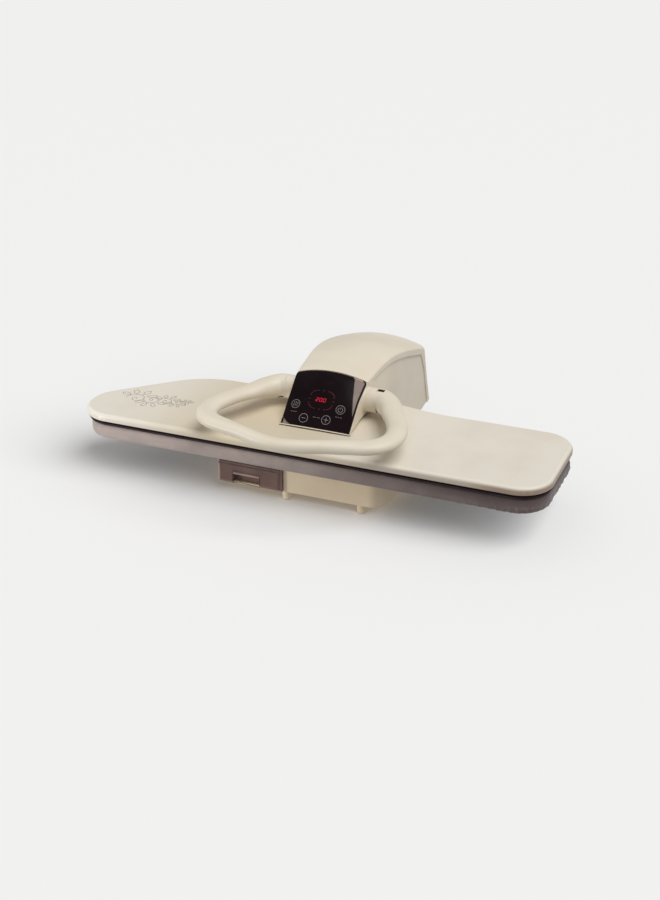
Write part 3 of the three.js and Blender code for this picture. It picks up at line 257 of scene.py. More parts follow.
@dataclass(frozen=True)
class MouldedPlastic:
    """Moulded plastic: a soft cloudiness of its colour, a fine skin grain and uneven gloss.

    Where asked, it carries a painted shade, darker and warmer, round a place in X: most within a quarter of
    the reach of X and none beyond it. It can also carry a brown painted shade on the lower part of its rim,
    more towards the right end.
    """

    name: str
    colour: Colour
    shade: Colour
    roughness: float = 0.4
    coat: float = 0.0
    cloud: float = 0.09
    grain: float = 0.0011
    depth: float = 0.00005
    gloss: float = 0.5
    cloud_limits: Limits = (0.35, 0.7)
    speck_limits: Limits = (0.66, 0.8)
    coat_roughness: float = 0.25
    refraction: float = 1.46
    yellowed: Colour = (0.0, 0.0, 0.0)
    yellow_share: float = 0.0
    warm_x: float = -0.10
    warm_reach: float = 0.32
    browned: Colour = (0.0, 0.0, 0.0)
    brown_share: float = 0.0
    brown_rim: Limits = (0.1300, 0.1368)
    brown_start: Limits = (0.0, 0.18)
    brown_end: Limits = (0.33, 0.42)

    def build(self) -> bpy.types.Material:
        """Makes the material. Clouds and specks shade its colour, and two sizes of grain bend its normal."""
        shader = Shader(self.name)
        cloud = shader.noise(self.cloud, 3).ramp(*self.cloud_limits)
        speck = shader.noise(self.grain * 3, 1).ramp(*self.speck_limits) * 0.25
        rough = self.roughness + 0.09 * (shader.noise(self.cloud / 2, 4) - 0.5) + speck * 0.1
        grain = shader.noise(self.grain, 1) + 0.4 * shader.noise(self.grain * 9, 1)
        colour = shader.mix(cloud * 0.75 + speck, self.colour, self.shade)
        # Painted shade: a darker, warmer tint round a place in X, standing in for the shade round the handle
        # and head.
        if self.yellow_share:
            painted_warmth = 1 - (shader.axis("X") - self.warm_x).size().ramp(self.warm_reach / 4, self.warm_reach)
            colour = shader.mix(painted_warmth * (self.yellow_share - 0.08 * cloud), colour, self.yellowed)
        # Painted shade: browner colour on the rim's lower part, more towards the right end, standing in for
        # the shade under the rounded edge.
        if self.brown_share:
            x, rim = shader.axis("X"), 1 - shader.axis("Z").ramp(*self.brown_rim)
            along = 0.55 * x.ramp(*self.brown_start) + 0.45 * x.ramp(*self.brown_end)
            colour = shader.mix(along * rim * (self.brown_share - 0.1 * cloud), colour, self.browned)
        return shader.surface({
            "Base Color": colour,
            "Roughness": rough,
            "Coat Weight": self.coat,
            "Coat Roughness": self.coat_roughness,
            "IOR": self.refraction,
            "Specular IOR Level": self.gloss,
            "Normal": shader.bump(grain, self.depth),
        })


@dataclass(frozen=True)
class BrushedMetal:
    """Metal with fine parallel scratches and a slight tarnish."""

    name: str
    colour: Colour
    shade: Colour
    roughness: float = 0.35
    metallic: float = 1.0
    scratch: float = 0.0004
    stretch: Place = (40, 1, 1)
    tarnish_size: float = 0.03
    tarnish_limits: Limits = (0.4, 0.72)
    scratch_depth: float = 0.00002

    def build(self) -> bpy.types.Material:
        """Makes the material."""
        shader = Shader(self.name)
        scratch = shader.noise(self.scratch, 2, self.stretch)
        tarnish = shader.noise(self.tarnish_size, 4).ramp(*self.tarnish_limits)
        return shader.surface({
            "Base Color": shader.mix(tarnish, self.colour, self.shade),
            "Metallic": self.metallic,
            "Roughness": self.roughness + 0.22 * (scratch - 0.5) + 0.1 * tarnish,
            "Normal": shader.bump(scratch, self.scratch_depth, 0.6),
        })


@dataclass(frozen=True)
class SmokyPlastic:
    """Clear plastic with a smoke tint, a faint cloudiness and a few fine scratches."""

    name: str
    colour: Colour
    shade: Colour
    alpha: float = 0.62
    cloud_size: float = 0.04
    cloud_limits: Limits = (0.3, 0.75)
    scratch_size: float = 0.0006
    scratch_stretch: Place = (40, 1, 1)
    scratch_limits: Limits = (0.72, 0.8)
    wave_size: float = 0.015
    wave_depth: float = 0.00008
    refraction: float = 1.49

    def build(self) -> bpy.types.Material:
        """Makes the material."""
        shader = Shader(self.name)
        cloud = shader.noise(self.cloud_size, 2).ramp(*self.cloud_limits)
        scratch = shader.noise(self.scratch_size, 1, self.scratch_stretch).ramp(*self.scratch_limits)
        return shader.surface({
            "Base Color": shader.mix(cloud * 0.5 + scratch * 0.1, self.colour, self.shade),
            "Roughness": 0.14 + 0.06 * cloud + 0.15 * scratch,
            "Alpha": self.alpha - 0.06 * cloud,
            "IOR": self.refraction,
            "Normal": shader.bump(shader.noise(self.wave_size, 1), self.wave_depth, 0.4),
        })


@dataclass(frozen=True)
class PolishedPanel:
    """Polished acrylic or painted metal, with a faint haze, dust and, where it is painted, metal flakes."""

    name: str
    colour: Colour
    shade: Colour
    roughness: float = 0.24
    flake: float = 0.0
    gloss: float = 0.04
    haze_size: float = 0.03
    haze_limits: Limits = (0.4, 0.8)
    dust_size: float = 0.0006
    dust_limits: Limits = (0.74, 0.8)
    flake_size: float = 0.00025
    flake_limits: Limits = (0.45, 0.75)
    wave_size: float = 0.012
    wave_depth: float = 0.00006

    def build(self) -> bpy.types.Material:
        """Makes the material."""
        shader = Shader(self.name)
        haze = shader.noise(self.haze_size, 3).ramp(*self.haze_limits)
        dust = shader.noise(self.dust_size, 0).ramp(*self.dust_limits)
        flake = shader.noise(self.flake_size, 0).ramp(*self.flake_limits) * self.flake
        return shader.surface({
            "Base Color": shader.mix(haze * 0.6 + dust * 0.3 + flake, self.colour, self.shade),
            "Roughness": self.roughness + 0.05 * haze + 0.25 * dust,
            "Specular IOR Level": self.gloss,
            "Normal": shader.bump(shader.noise(self.wave_size, 1), self.wave_depth, 0.5),
        })


@dataclass(frozen=True)
class WovenCloth:
    """Plain-weave cotton that follows its own UV map, with slubs and fuzz.

    Painted shade makes it darker towards its right end, as if the light fell off from the left, and darker
    still near its top there, under the plate. A painted highlight makes its gathers paler on their crests,
    whose height the cover gives as an attribute.
    """

    name: str
    colour: Colour
    shade: Colour
    dusk: Colour
    deep: Colour
    span: Limits = (-0.30, 0.42)
    upper: Limits = (0.088, 0.106)
    far: Limits = (0.15, 0.33)
    thread: float = 0.0011
    roughness: float = 0.86
    slub_size: float = 0.004
    slub_stretch: Place = (4, 4, 1)
    worn_size: float = 0.05
    worn_limits: Limits = (0.35, 0.75)
    deep_share: float = 0.55
    crest_share: float = 0.45
    sheen: float = 0.35
    sheen_roughness: float = 0.5
    weave_depth: float = 0.00035

    def build(self) -> bpy.types.Material:
        """Makes the material. The weave is the product of two sine rows, one thread apart."""
        shader = Shader(self.name)
        coordinates = shader.add("ShaderNodeUVMap")
        split = shader.add("ShaderNodeSeparateXYZ", {}, {0: coordinates.outputs[0]})
        turn = pi / self.thread
        warp = (Term(shader, split.outputs["X"]) * turn).sine()
        weft = (Term(shader, split.outputs["Y"]) * turn).sine()
        weave = (warp * weft) * 0.5 + 0.5
        slub = shader.noise(self.slub_size, 3, self.slub_stretch)
        worn = shader.noise(self.worn_size, 4).ramp(*self.worn_limits)
        faded = shader.mix(worn * 0.45 + weave * 0.25 + (slub - 0.5) * 0.5, self.colour, self.shade)
        crest = Term(shader, shader.add("ShaderNodeAttribute", {"attribute_name": "crest"}).outputs["Fac"])
        x, z = shader.axis("X"), shader.axis("Z")
        # Painted shade: darker towards the right end, as if the light fell off from the left.
        darker = shader.mix(x.ramp(*self.span) * (0.9 + 0.1 * worn), faded, self.dusk)
        # Painted shade: darker still near the top at the right end, under the plate's overhang.
        darker = shader.mix(self.deep_share * z.ramp(*self.upper) * x.ramp(*self.far), darker, self.deep)
        return shader.surface({
            # Painted highlight: the gathers' crests paler, as if catching the light.
            "Base Color": shader.mix(crest * self.crest_share, darker, self.shade),
            "Roughness": self.roughness + 0.08 * (slub - 0.5),
            "Sheen Weight": self.sheen,
            "Sheen Roughness": self.sheen_roughness,
            "Normal": shader.bump(weave + slub * 0.8, self.weave_depth, 0.8),
        })


@dataclass(frozen=True)
class Glow:
    """Lit digits or printed ink, a little uneven."""

    name: str
    colour: Colour
    strength: float = 0.0
    roughness: float = 0.5
    grain: float = 0.0008
    grain_limits: Limits = (0.25, 0.8)
    dimming: float = 0.7

    def build(self) -> bpy.types.Material:
        """Makes the material."""
        shader = Shader(self.name)
        uneven = shader.noise(self.grain, 1).ramp(*self.grain_limits)
        dim = tuple(c * self.dimming for c in self.colour)
        tint = shader.mix(uneven, self.colour, dim)
        return shader.surface({
            "Base Color": tint,
            "Roughness": self.roughness,
            "Emission Color": tint,
            "Emission Strength": self.strength,
        })


EVEN = (1, 1, 1)
CREAM = MouldedPlastic("cream_plastic", linear(227, 217, 199), linear(220, 209, 188), roughness=0.46,
                       coat=0.03)
# Painted shade: a darker, warmer tint round the handle and head, and a brown one on the rim's lower part.
PLATE_CREAM = MouldedPlastic("plate_cream", linear(228, 221, 208), linear(221, 213, 199), roughness=0.46,
                             coat=0.03, yellowed=linear(206, 190, 160), yellow_share=0.72,
                             browned=linear(163, 143, 126), brown_share=1.0)
WARM_CREAM = MouldedPlastic("warm_cream_plastic", linear(234, 215, 186), linear(225, 204, 172),
                            roughness=0.45)
BLACK_PLASTIC = MouldedPlastic("black_plastic", linear(38, 22, 24), linear(28, 16, 18), roughness=0.8,
                               gloss=0.04)
RUBBER = MouldedPlastic("dark_rubber", linear(48, 46, 45), linear(66, 63, 60), roughness=0.85, cloud=0.02,
                        grain=0.0006, depth=0.0001)
SILICONE = MouldedPlastic("milky_silicone", linear(226, 223, 215), linear(206, 203, 196), coat=0.2)
CIRCUIT = MouldedPlastic("circuit_board", linear(44, 92, 58), linear(30, 70, 44), coat=0.3, cloud=0.008,
                         grain=0.0008)
STEEL = BrushedMetal("plated_steel", linear(176, 176, 178), linear(140, 139, 138))
TRAY = BrushedMetal("galvanised_tray", linear(190, 191, 193), linear(160, 162, 165), roughness=0.5,
                    metallic=0.8, scratch=0.003, stretch=EVEN)
BRASS = BrushedMetal("turned_brass", linear(190, 152, 84), linear(150, 116, 62), roughness=0.3)
CAST = BrushedMetal("cast_aluminium", linear(200, 201, 203), linear(168, 169, 171), roughness=0.5,
                    scratch=0.0012, stretch=EVEN)
SOLE = BrushedMetal("sole_coating", linear(40, 24, 26), linear(30, 18, 20), roughness=0.8, metallic=0.0,
                    scratch=0.0009, stretch=EVEN)
SMOKE = SmokyPlastic("smoky_plastic", linear(142, 112, 104), linear(116, 90, 83))
CLEAR_EDGE = SmokyPlastic("clear_edge", linear(196, 168, 156), linear(176, 148, 138), alpha=0.85)
# Painted shade: a dark, opaque tint for the lines that stand in for the shade in the tank's recesses.
RECESS_SHADE = SmokyPlastic("smoky_line", linear(34, 20, 20), linear(26, 15, 15), alpha=1.0)
PANEL_BLACK = PolishedPanel("panel_black", linear(24, 16, 19), linear(32, 23, 25))
PANEL_SILVER = PolishedPanel("panel_silver", linear(138, 123, 114), linear(160, 146, 137), roughness=0.4,
                             flake=0.3, gloss=0.1)
# Painted shade: darker towards the right end, and darker still near the top there.
CLOTH = WovenCloth("grey_cloth", colour=linear(186, 170, 163), shade=linear(156, 141, 136),
                   dusk=linear(104, 89, 87), deep=linear(62, 50, 52))
LED_LIT = Glow("led_lit", linear(205, 10, 44), strength=0.55)
LED_DIM = Glow("led_dim", linear(92, 12, 26), strength=0.15)
WHITE_INK = Glow("white_ink", linear(176, 170, 168), strength=0.05)
MOTIF_INK = Glow("motif_ink", linear(82, 68, 64))

Finish = Union[MouldedPlastic, BrushedMetal, SmokyPlastic, PolishedPanel, WovenCloth, Glow]


class Paintbox:
    """Materials made once for each finish."""

    def __init__(self) -> None:
        """Starts with no material made."""
        self.made: dict[str, bpy.types.Material] = {}

    def get(self, finish: Finish) -> bpy.types.Material:
        """The material of a finish, made when it is first asked for."""
        if finish.name not in self.made:
            self.made[finish.name] = finish.build()
        return self.made[finish.name]


PAINT = Paintbox()


# Curves and outlines


def smoothstep(value: Array, low: float, high: float) -> Array:
    """Smooth step: 3 s squared less 2 s cubed, of the share s of the way from low to high."""
    share = np.clip((np.asarray(value, float) - low) / (high - low), 0, 1)
    return share * share * (3 - 2 * share)


def catmull_rom(knots: Array, at: Array) -> Array:
    """Uniform Catmull-Rom curve.

    Between two knots it is the cubic whose end slopes are half the difference of the knots on either side.

    Args:
        knots: Knots, one a row.
        at: Places along the curve, in knots from the first.

    Returns:
        The curve's points.
    """
    last = len(knots) - 1
    start = np.clip(np.floor(at).astype(int), 0, last - 1)
    share = (at - start)[:, None]
    before, first, second, after = (knots[np.clip(start + k, 0, last)] for k in (-1, 0, 1, 2))
    slope_a, slope_b = (second - before) / 2, (after - first) / 2
    return ((2 * first - 2 * second + slope_a + slope_b) * share ** 3
            + (3 * second - 3 * first - 2 * slope_a - slope_b) * share ** 2 + slope_a * share + first)


def centripetal(knots: Array, each: int) -> Array:
    """Centripetal Catmull-Rom curve through all knots.

    The knots are spaced by the square root of their distance, which sets the end slopes of each cubic.

    Args:
        knots: Knots, one a row.
        each: Points between one knot and the next.

    Returns:
        The curve's points.
    """
    ends = np.vstack([2 * knots[0] - knots[1], knots, 2 * knots[-1] - knots[-2]])
    gap = np.sqrt(np.linalg.norm(np.diff(ends, axis=0), axis=1))[:, None]
    p0, p1, p2, p3 = (ends[k:len(ends) - 3 + k] for k in range(4))
    d0, d1, d2 = (gap[k:len(gap) - 2 + k] for k in range(3))
    m1 = ((p1 - p0) / d0 - (p2 - p0) / (d0 + d1) + (p2 - p1) / d1) * d1
    m2 = ((p2 - p1) / d1 - (p3 - p1) / (d1 + d2) + (p3 - p2) / d2) * d1
    share = np.linspace(0, 1, each, endpoint=False)[None, :, None]
    p1, p2, m1, m2 = (a[:, None, :] for a in (p1, p2, m1, m2))
    curve = ((2 * p1 - 2 * p2 + m1 + m2) * share ** 3 + (3 * p2 - 3 * p1 - 2 * m1 - m2) * share ** 2
             + m1 * share + p1)
    return np.vstack([curve.reshape(-1, knots.shape[1]), knots[-1:]])


def evenly(points: Array, count: int, closed: bool = False) -> Array:
    """Points at equal steps of length along a line through points.

    Args:
        points: The line's points.
        count: How many points to give.
        closed: Whether the line goes back to its first point.

    Returns:
        The points; a closed line doesn't repeat its first.
    """
    line = np.vstack([points, points[:1]]) if closed else points
    length = np.concatenate([[0], np.cumsum(np.linalg.norm(np.diff(line, axis=0), axis=1))])
    at = np.linspace(0, length[-1], count, endpoint=not closed)
    return np.stack([np.interp(at, length, line[:, k]) for k in range(line.shape[1])], axis=1)


@dataclass(frozen=True)
class RoundedOutline:
    """Closed plan outline through corners, each rounded by its own radius, counter-clockwise."""

    corners: tuple[tuple[float, float, float], ...]

    def points(self, count: int, arc_steps: int = 48) -> Array:
        """Points at equal steps round the outline.

        A rounded corner is an arc that touches both sides: its centre lies on the corner's halving line, at
        the radius over the sine of half the corner's angle.

        Args:
            count: How many points to give.
            arc_steps: Steps of each corner's arc.

        Returns:
            The points, as X and Y.
        """
        place = np.array([c[:2] for c in self.corners])
        rows = []
        for index, (_, _, radius) in enumerate(self.corners):
            at = place[index]
            before, after = (place[(index + k) % len(place)] - at for k in (-1, 1))
            before, after = before / np.linalg.norm(before), after / np.linalg.norm(after)
            half = np.arccos(before @ after) / 2
            middle = at + (before + after) / np.linalg.norm(before + after) * radius / sin(half)
            spoke = at + before * radius / tan(half) - middle
            turn = np.linspace(0, pi - 2 * half, arc_steps)[:, None]
            rows.append(middle + spoke * np.cos(turn) + np.array([[-spoke[1], spoke[0]]]) * np.sin(turn))
        return evenly(np.vstack(rows), count, closed=True)


def outward(points: Array) -> Array:
    """Unit normals of a closed, counter-clockwise outline: the tangent at each point, turned clockwise."""
    along = np.roll(points, -1, axis=0) - np.roll(points, 1, axis=0)
    along /= np.linalg.norm(along, axis=1)[:, None]
    return np.stack([along[:, 1], -along[:, 0]], axis=1)


def stroke(path: Array, half: float) -> Array:
    """Flat stroke along a plan path: each point moved to both sides along the path's normal.

    Args:
        path: Points of the path.
        half: Half the stroke's width.

    Returns:
        Two points for each point of the path.
    """
    along = np.gradient(path, axis=0)
    along /= np.maximum(np.linalg.norm(along, axis=1), 1e-9)[:, None]
    normal = np.stack([-along[:, 1], along[:, 0]], axis=1) * half
    return np.stack([path - normal, path + normal], axis=1)


def ring_noise(count: int, lumps: int, seed: int) -> Array:
    """Smooth noise round a closed line, from -1 to 1: random knots joined by a Catmull-Rom curve.

    Args:
        count: Points round the line.
        lumps: Knots round the line.
        seed: Seed of the random knots.

    Returns:
        One value for each point.
    """
    knots = np.random.default_rng(seed).uniform(-1, 1, lumps)
    at = np.arange(count) * lumps / count
    start = np.floor(at).astype(int)
    share = at - start
    p0, p1, p2, p3 = (knots[(start + k) % lumps] for k in (-1, 0, 1, 2))
    return p1 + share * ((p2 - p0) / 2 + share * ((p0 - 2.5 * p1 + 2 * p2 - p3 / 2)
                                                  + share * (1.5 * (p1 - p2) + (p3 - p0) / 2)))


# Meshes


def grid_faces(rows: int, columns: int, wrap_rows: bool, wrap_columns: bool, first: int = 0) -> Array:
    """Quads of a grid of points: each point with its neighbours in the next column and row.

    Args:
        rows: Rows of points.
        columns: Columns of points.
        wrap_rows: Whether the last row joins the first.
        wrap_columns: Whether the last column joins the first.
        first: Number of the grid's first point.

    Returns:
        The four point numbers of each quad.
    """
    down, across = np.arange(rows - (not wrap_rows)), np.arange(columns - (not wrap_columns))
    i, j = (a.ravel() for a in np.meshgrid(down, across, indexing="ij"))
    k, m = (i + 1) % rows, (j + 1) % columns
    return first + np.stack([i * columns + j, i * columns + m, k * columns + m, k * columns + j], axis=1)


@dataclass
class Piece:
    """A mesh object made of point grids, and how it is finished."""

    name: str
    points: list[Array] = field(default_factory=list)
    polygons: list[list[int]] = field(default_factory=list)
    count: int = 0

    def grid(self, points: Array, wrap_rows: bool = False, wrap_columns: bool = False,
             caps: bool = False) -> "Piece":
        """Adds a grid of points, in the bench frame.

        Args:
            points: Rows, columns and X, Y, Z.
            wrap_rows: Whether the last row joins the first.
            wrap_columns: Whether the last column joins the first.
            caps: Whether the first and last rows are closed with a face each.

        Returns:
            The piece.
        """
        rows, columns = points.shape[:2]
        self.polygons += grid_faces(rows, columns, wrap_rows, wrap_columns, self.count).tolist()
        if caps:
            last = self.count + (rows - 1) * columns
            self.polygons.append(list(range(self.count, self.count + columns)))
            self.polygons.append(list(range(last, last + columns))[::-1])
        self.points.append(points.reshape(-1, 3))
        self.count += rows * columns
        return self

    def build(self, finish: Finish, body: Body, slot: str, sharp: float = 40, replaces: Sequence[str] = (),
              bench: bool = True) -> bpy.types.Object:
        """Makes the object, closes its seams, turns its faces outwards and hangs it on its body.

        Args:
            finish: Its finish.
            body: The body that it rides on.
            slot: The record's material slot; not used.
            sharp: Angle in degrees above which an edge stays sharp.
            replaces: CAD nodes that it stands for.
            bench: Whether the points are in the bench frame.

        Returns:
            The object.
        """
        place = np.vstack(self.points)
        if bench:
            place = place + np.array([0, BENCH_Y, 0])
        mesh = bpy.data.meshes.new(self.name)
        mesh.from_pydata(place.tolist(), [], self.polygons)
        made = bmesh.new()
        made.from_mesh(mesh)
        bmesh.ops.remove_doubles(made, verts=made.verts, dist=1e-6)
        bmesh.ops.dissolve_degenerate(made, edges=made.edges, dist=1e-7)
        bmesh.ops.recalc_face_normals(made, faces=made.faces)
        made.to_mesh(mesh)
        made.free()
        mesh.polygons.foreach_set("use_smooth", np.ones(len(mesh.polygons), bool))
        mesh.set_sharp_from_angle(angle=radians(sharp))
        thing = bpy.data.objects.new(self.name, mesh)
        bpy.context.scene.collection.objects.link(thing)
        mesh.materials.append(PAINT.get(finish))
        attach(thing, body.value)
        if replaces:
            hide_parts(*replaces)
        return thing


def sweep(path: Array, radii: Callable[[Array], tuple[Array, Array]], sides: int, up: Array,
          power: float = 2.0) -> Array:
    """Section carried along a path.

    The section is a superellipse: each coordinate is the cosine or sine of its angle to the power 2 over the
    given power, with its sign kept, times the half width or half height there.

    Args:
        path: Points of the path.
        radii: Half width and half height at each share of the path.
        sides: Points round the section.
        up: Direction that the section's height follows.
        power: Power of the superellipse.

    Returns:
        A grid with one row for each point of the path.
    """
    along = np.gradient(path, axis=0)
    along /= np.linalg.norm(along, axis=1)[:, None]
    across = np.cross(along, up)
    across /= np.linalg.norm(across, axis=1)[:, None]
    height = np.cross(across, along)
    wide, high = radii(np.linspace(0, 1, len(path)))
    angle = np.linspace(0, 2 * pi, sides, endpoint=False)
    c, s = (np.sign(f(angle)) * np.abs(f(angle)) ** (2 / power) for f in (np.cos, np.sin))
    return (path[:, None, :] + across[:, None, :] * (wide[:, None] * c)[:, :, None]
            + height[:, None, :] * (high[:, None] * s)[:, :, None])


def turned(profile: Sequence[tuple[float, float]], axis: int, centre: Sequence[float],
           sides: int = 64) -> Array:
    """Surface of revolution.

    Args:
        profile: Place along the axis and radius of each row.
        axis: 0 for X, 1 for Y, 2 for Z.
        centre: Point on the axis; its own coordinate along the axis isn't used.
        sides: Points round.

    Returns:
        A grid with one row for each point of the profile.
    """
    rows = np.array(profile, float)
    angle = np.linspace(0, 2 * pi, sides, endpoint=False)
    others = [k for k in range(3) if k != axis]
    grid = np.zeros((len(rows), sides, 3))
    grid[..., axis] = rows[:, :1]
    grid[..., others[0]] = centre[others[0]] + rows[:, 1:] * np.cos(angle)
    grid[..., others[1]] = centre[others[1]] + rows[:, 1:] * np.sin(angle)
    return grid


def brick(low: Sequence[float], high: Sequence[float]) -> Array:
    """Box from its least to its greatest X, Y and Z, as a grid of two rows of four points."""
    turn = [(low[0], low[1]), (high[0], low[1]), (high[0], high[1]), (low[0], high[1])]
    return np.array([[(x, y, z) for x, y in turn] for z in (low[2], high[2])])


def finished(thing: bpy.types.Object, sharp: float = 40, **modifiers: Mapping[str, Any]) -> bpy.types.Object:
    """Runs modifiers on an object and keeps the mesh that they give, with its sharp edges marked anew.

    Args:
        thing: The object.
        sharp: Angle in degrees above which an edge stays sharp.
        modifiers: Settings of each modifier, by its type in small letters.

    Returns:
        The object.
    """
    for kind, settings in modifiers.items():
        modifier = thing.modifiers.new(kind, kind.upper())
        for key, value in settings.items():
            setattr(modifier, key, value)
    bpy.context.view_layer.update()
    seen = thing.evaluated_get(bpy.context.evaluated_depsgraph_get())
    mesh = bpy.data.meshes.new_from_object(seen)
    mesh.polygons.foreach_set("use_smooth", np.ones(len(mesh.polygons), bool))
    mesh.set_sharp_from_angle(angle=radians(sharp))
    thing.modifiers.clear()
    thing.data = mesh
    return thing


# Sub-assemblies


@dataclass
class Studio:
    """Camera at the photographed angle, pale floor and soft light."""

    eye: Place = (1.02697, -2.32, 1.34966)
    azimuth: float = 22.35
    elevation: float = 25.58
    lens: float = 57.25
    sensor: float = 36.0
    floor_size: float = 30.0
    floor_colour: Colour = linear(242, 242, 242)
    pale: Colour = linear(240, 240, 240)
    ambient: float = 0.38
    ambient_tint: Colour = (1.0, 0.995, 0.985)
    sun_turn: Place = (8, 23, 0)
    sun_strength: float = 2.05
    sun_spread: float = 42
    floor_turn: Place = (10, 43, 0)
    floor_strength: float = 2.68
    floor_spread: float = 60
    lamp_place: Place = (-1.3, -1.1, 0.11)
    lamp_target: Place = (-0.4, 0.0, 0.09)
    lamp_power: float = 9.5
    lamp_size: float = 0.2

    def camera(self) -> None:
        """Makes the scene's camera, whose place is given in the bench frame."""
        data = bpy.data.cameras.new("camera")
        data.lens = self.lens
        data.sensor_width = self.sensor
        data.clip_end = 100
        camera = bpy.data.objects.new("camera", data)
        camera.location = Vector(self.eye) + Vector((0, BENCH_Y, 0))
        camera.rotation_euler = (radians(90 - self.elevation), 0, radians(self.azimuth))
        bpy.context.scene.collection.objects.link(camera)
        bpy.context.scene.camera = camera

    def floor(self) -> bpy.types.Object:
        """Makes the plain pale floor: one large square with a faint cloudiness."""
        half = self.floor_size / 2
        mesh = bpy.data.meshes.new("floor")
        corners = [(-half, -half, 0), (half, -half, 0), (half, half, 0), (-half, half, 0)]
        mesh.from_pydata(corners, [], [(0, 1, 2, 3)])
        floor = bpy.data.objects.new("floor", mesh)
        bpy.context.scene.collection.objects.link(floor)
        shader = Shader("floor")
        cloud = shader.noise(0.8, 2)
        mesh.materials.append(shader.surface({
            "Base Color": shader.mix(cloud * 0.1, self.floor_colour, self.pale),
            "Roughness": 0.9,
            "Specular IOR Level": 0.1,
        }))
        floor.visible_diffuse = False
        return floor

    def lights(self, floor: bpy.types.Object) -> None:
        """Makes the world's soft light, a broad sun overhead and a low lamp at the nose's side.

        The camera sees the world as pale as the floor. The sun and the lamp light all but the floor, which
        has a broader sun of its own, further round to the right, for the soft shadow under the nose.

        Args:
            floor: The floor.
        """
        world = bpy.data.worlds.new("soft_world")
        bpy.context.scene.world = world
        world.use_nodes = True
        nodes, links = world.node_tree.nodes, world.node_tree.links
        soft, pale, seen, mix = (nodes["Background"], nodes.new("ShaderNodeBackground"),
                                 nodes.new("ShaderNodeLightPath"), nodes.new("ShaderNodeMixShader"))
        soft.inputs["Color"].default_value = (*self.ambient_tint, 1)
        soft.inputs["Strength"].default_value = self.ambient
        pale.inputs["Color"].default_value = (*self.pale, 1)
        for socket, source in enumerate((seen.outputs["Is Camera Ray"], soft.outputs[0], pale.outputs[0])):
            links.new(source, mix.inputs[socket])
        links.new(mix.outputs[0], nodes["World Output"].inputs["Surface"])
        facing = (Vector(self.lamp_target) - Vector(self.lamp_place)).to_track_quat("-Z", "Y").to_euler()
        overhead = self.lamp("overhead", "SUN", (0, 0, 0), np.radians(self.sun_turn),
                             energy=self.sun_strength, angle=radians(self.sun_spread))
        low = self.lamp("front_left", "AREA", self.lamp_place, facing,
                        energy=self.lamp_power, size=self.lamp_size)
        shadow = self.lamp("floor_sun", "SUN", (0, 0, 0), np.radians(self.floor_turn),
                           energy=self.floor_strength, angle=radians(self.floor_spread))
        for name, lamps, state in (("all_but_floor", (overhead, low), "EXCLUDE"),
                                   ("floor_alone", (shadow,), "INCLUDE")):
            receivers = bpy.data.collections.new(name)
            receivers.objects.link(floor)
            receivers.collection_objects[0].light_linking.link_state = state
            for lamp in lamps:
                lamp.light_linking.receiver_collection = receivers
        bpy.context.scene.view_settings.view_transform = "Standard"

    @staticmethod
    def lamp(name: str, kind: str, place: Place, turn: Sequence[float],
             **settings: float) -> bpy.types.Object:
        """Makes a lamp.

        Args:
            name: Its name.
            kind: SUN, or AREA for a square one.
            place: Where it is.
            turn: Its rotation.
            settings: Its energy, and its angle or size.

        Returns:
            The lamp.
        """
        data = bpy.data.lights.new(name, kind)
        for key, value in settings.items():
            setattr(data, key, value)
        thing = bpy.data.objects.new(name, data)
        thing.location = place
        thing.rotation_euler = turn
        bpy.context.scene.collection.objects.link(thing)
        return thing


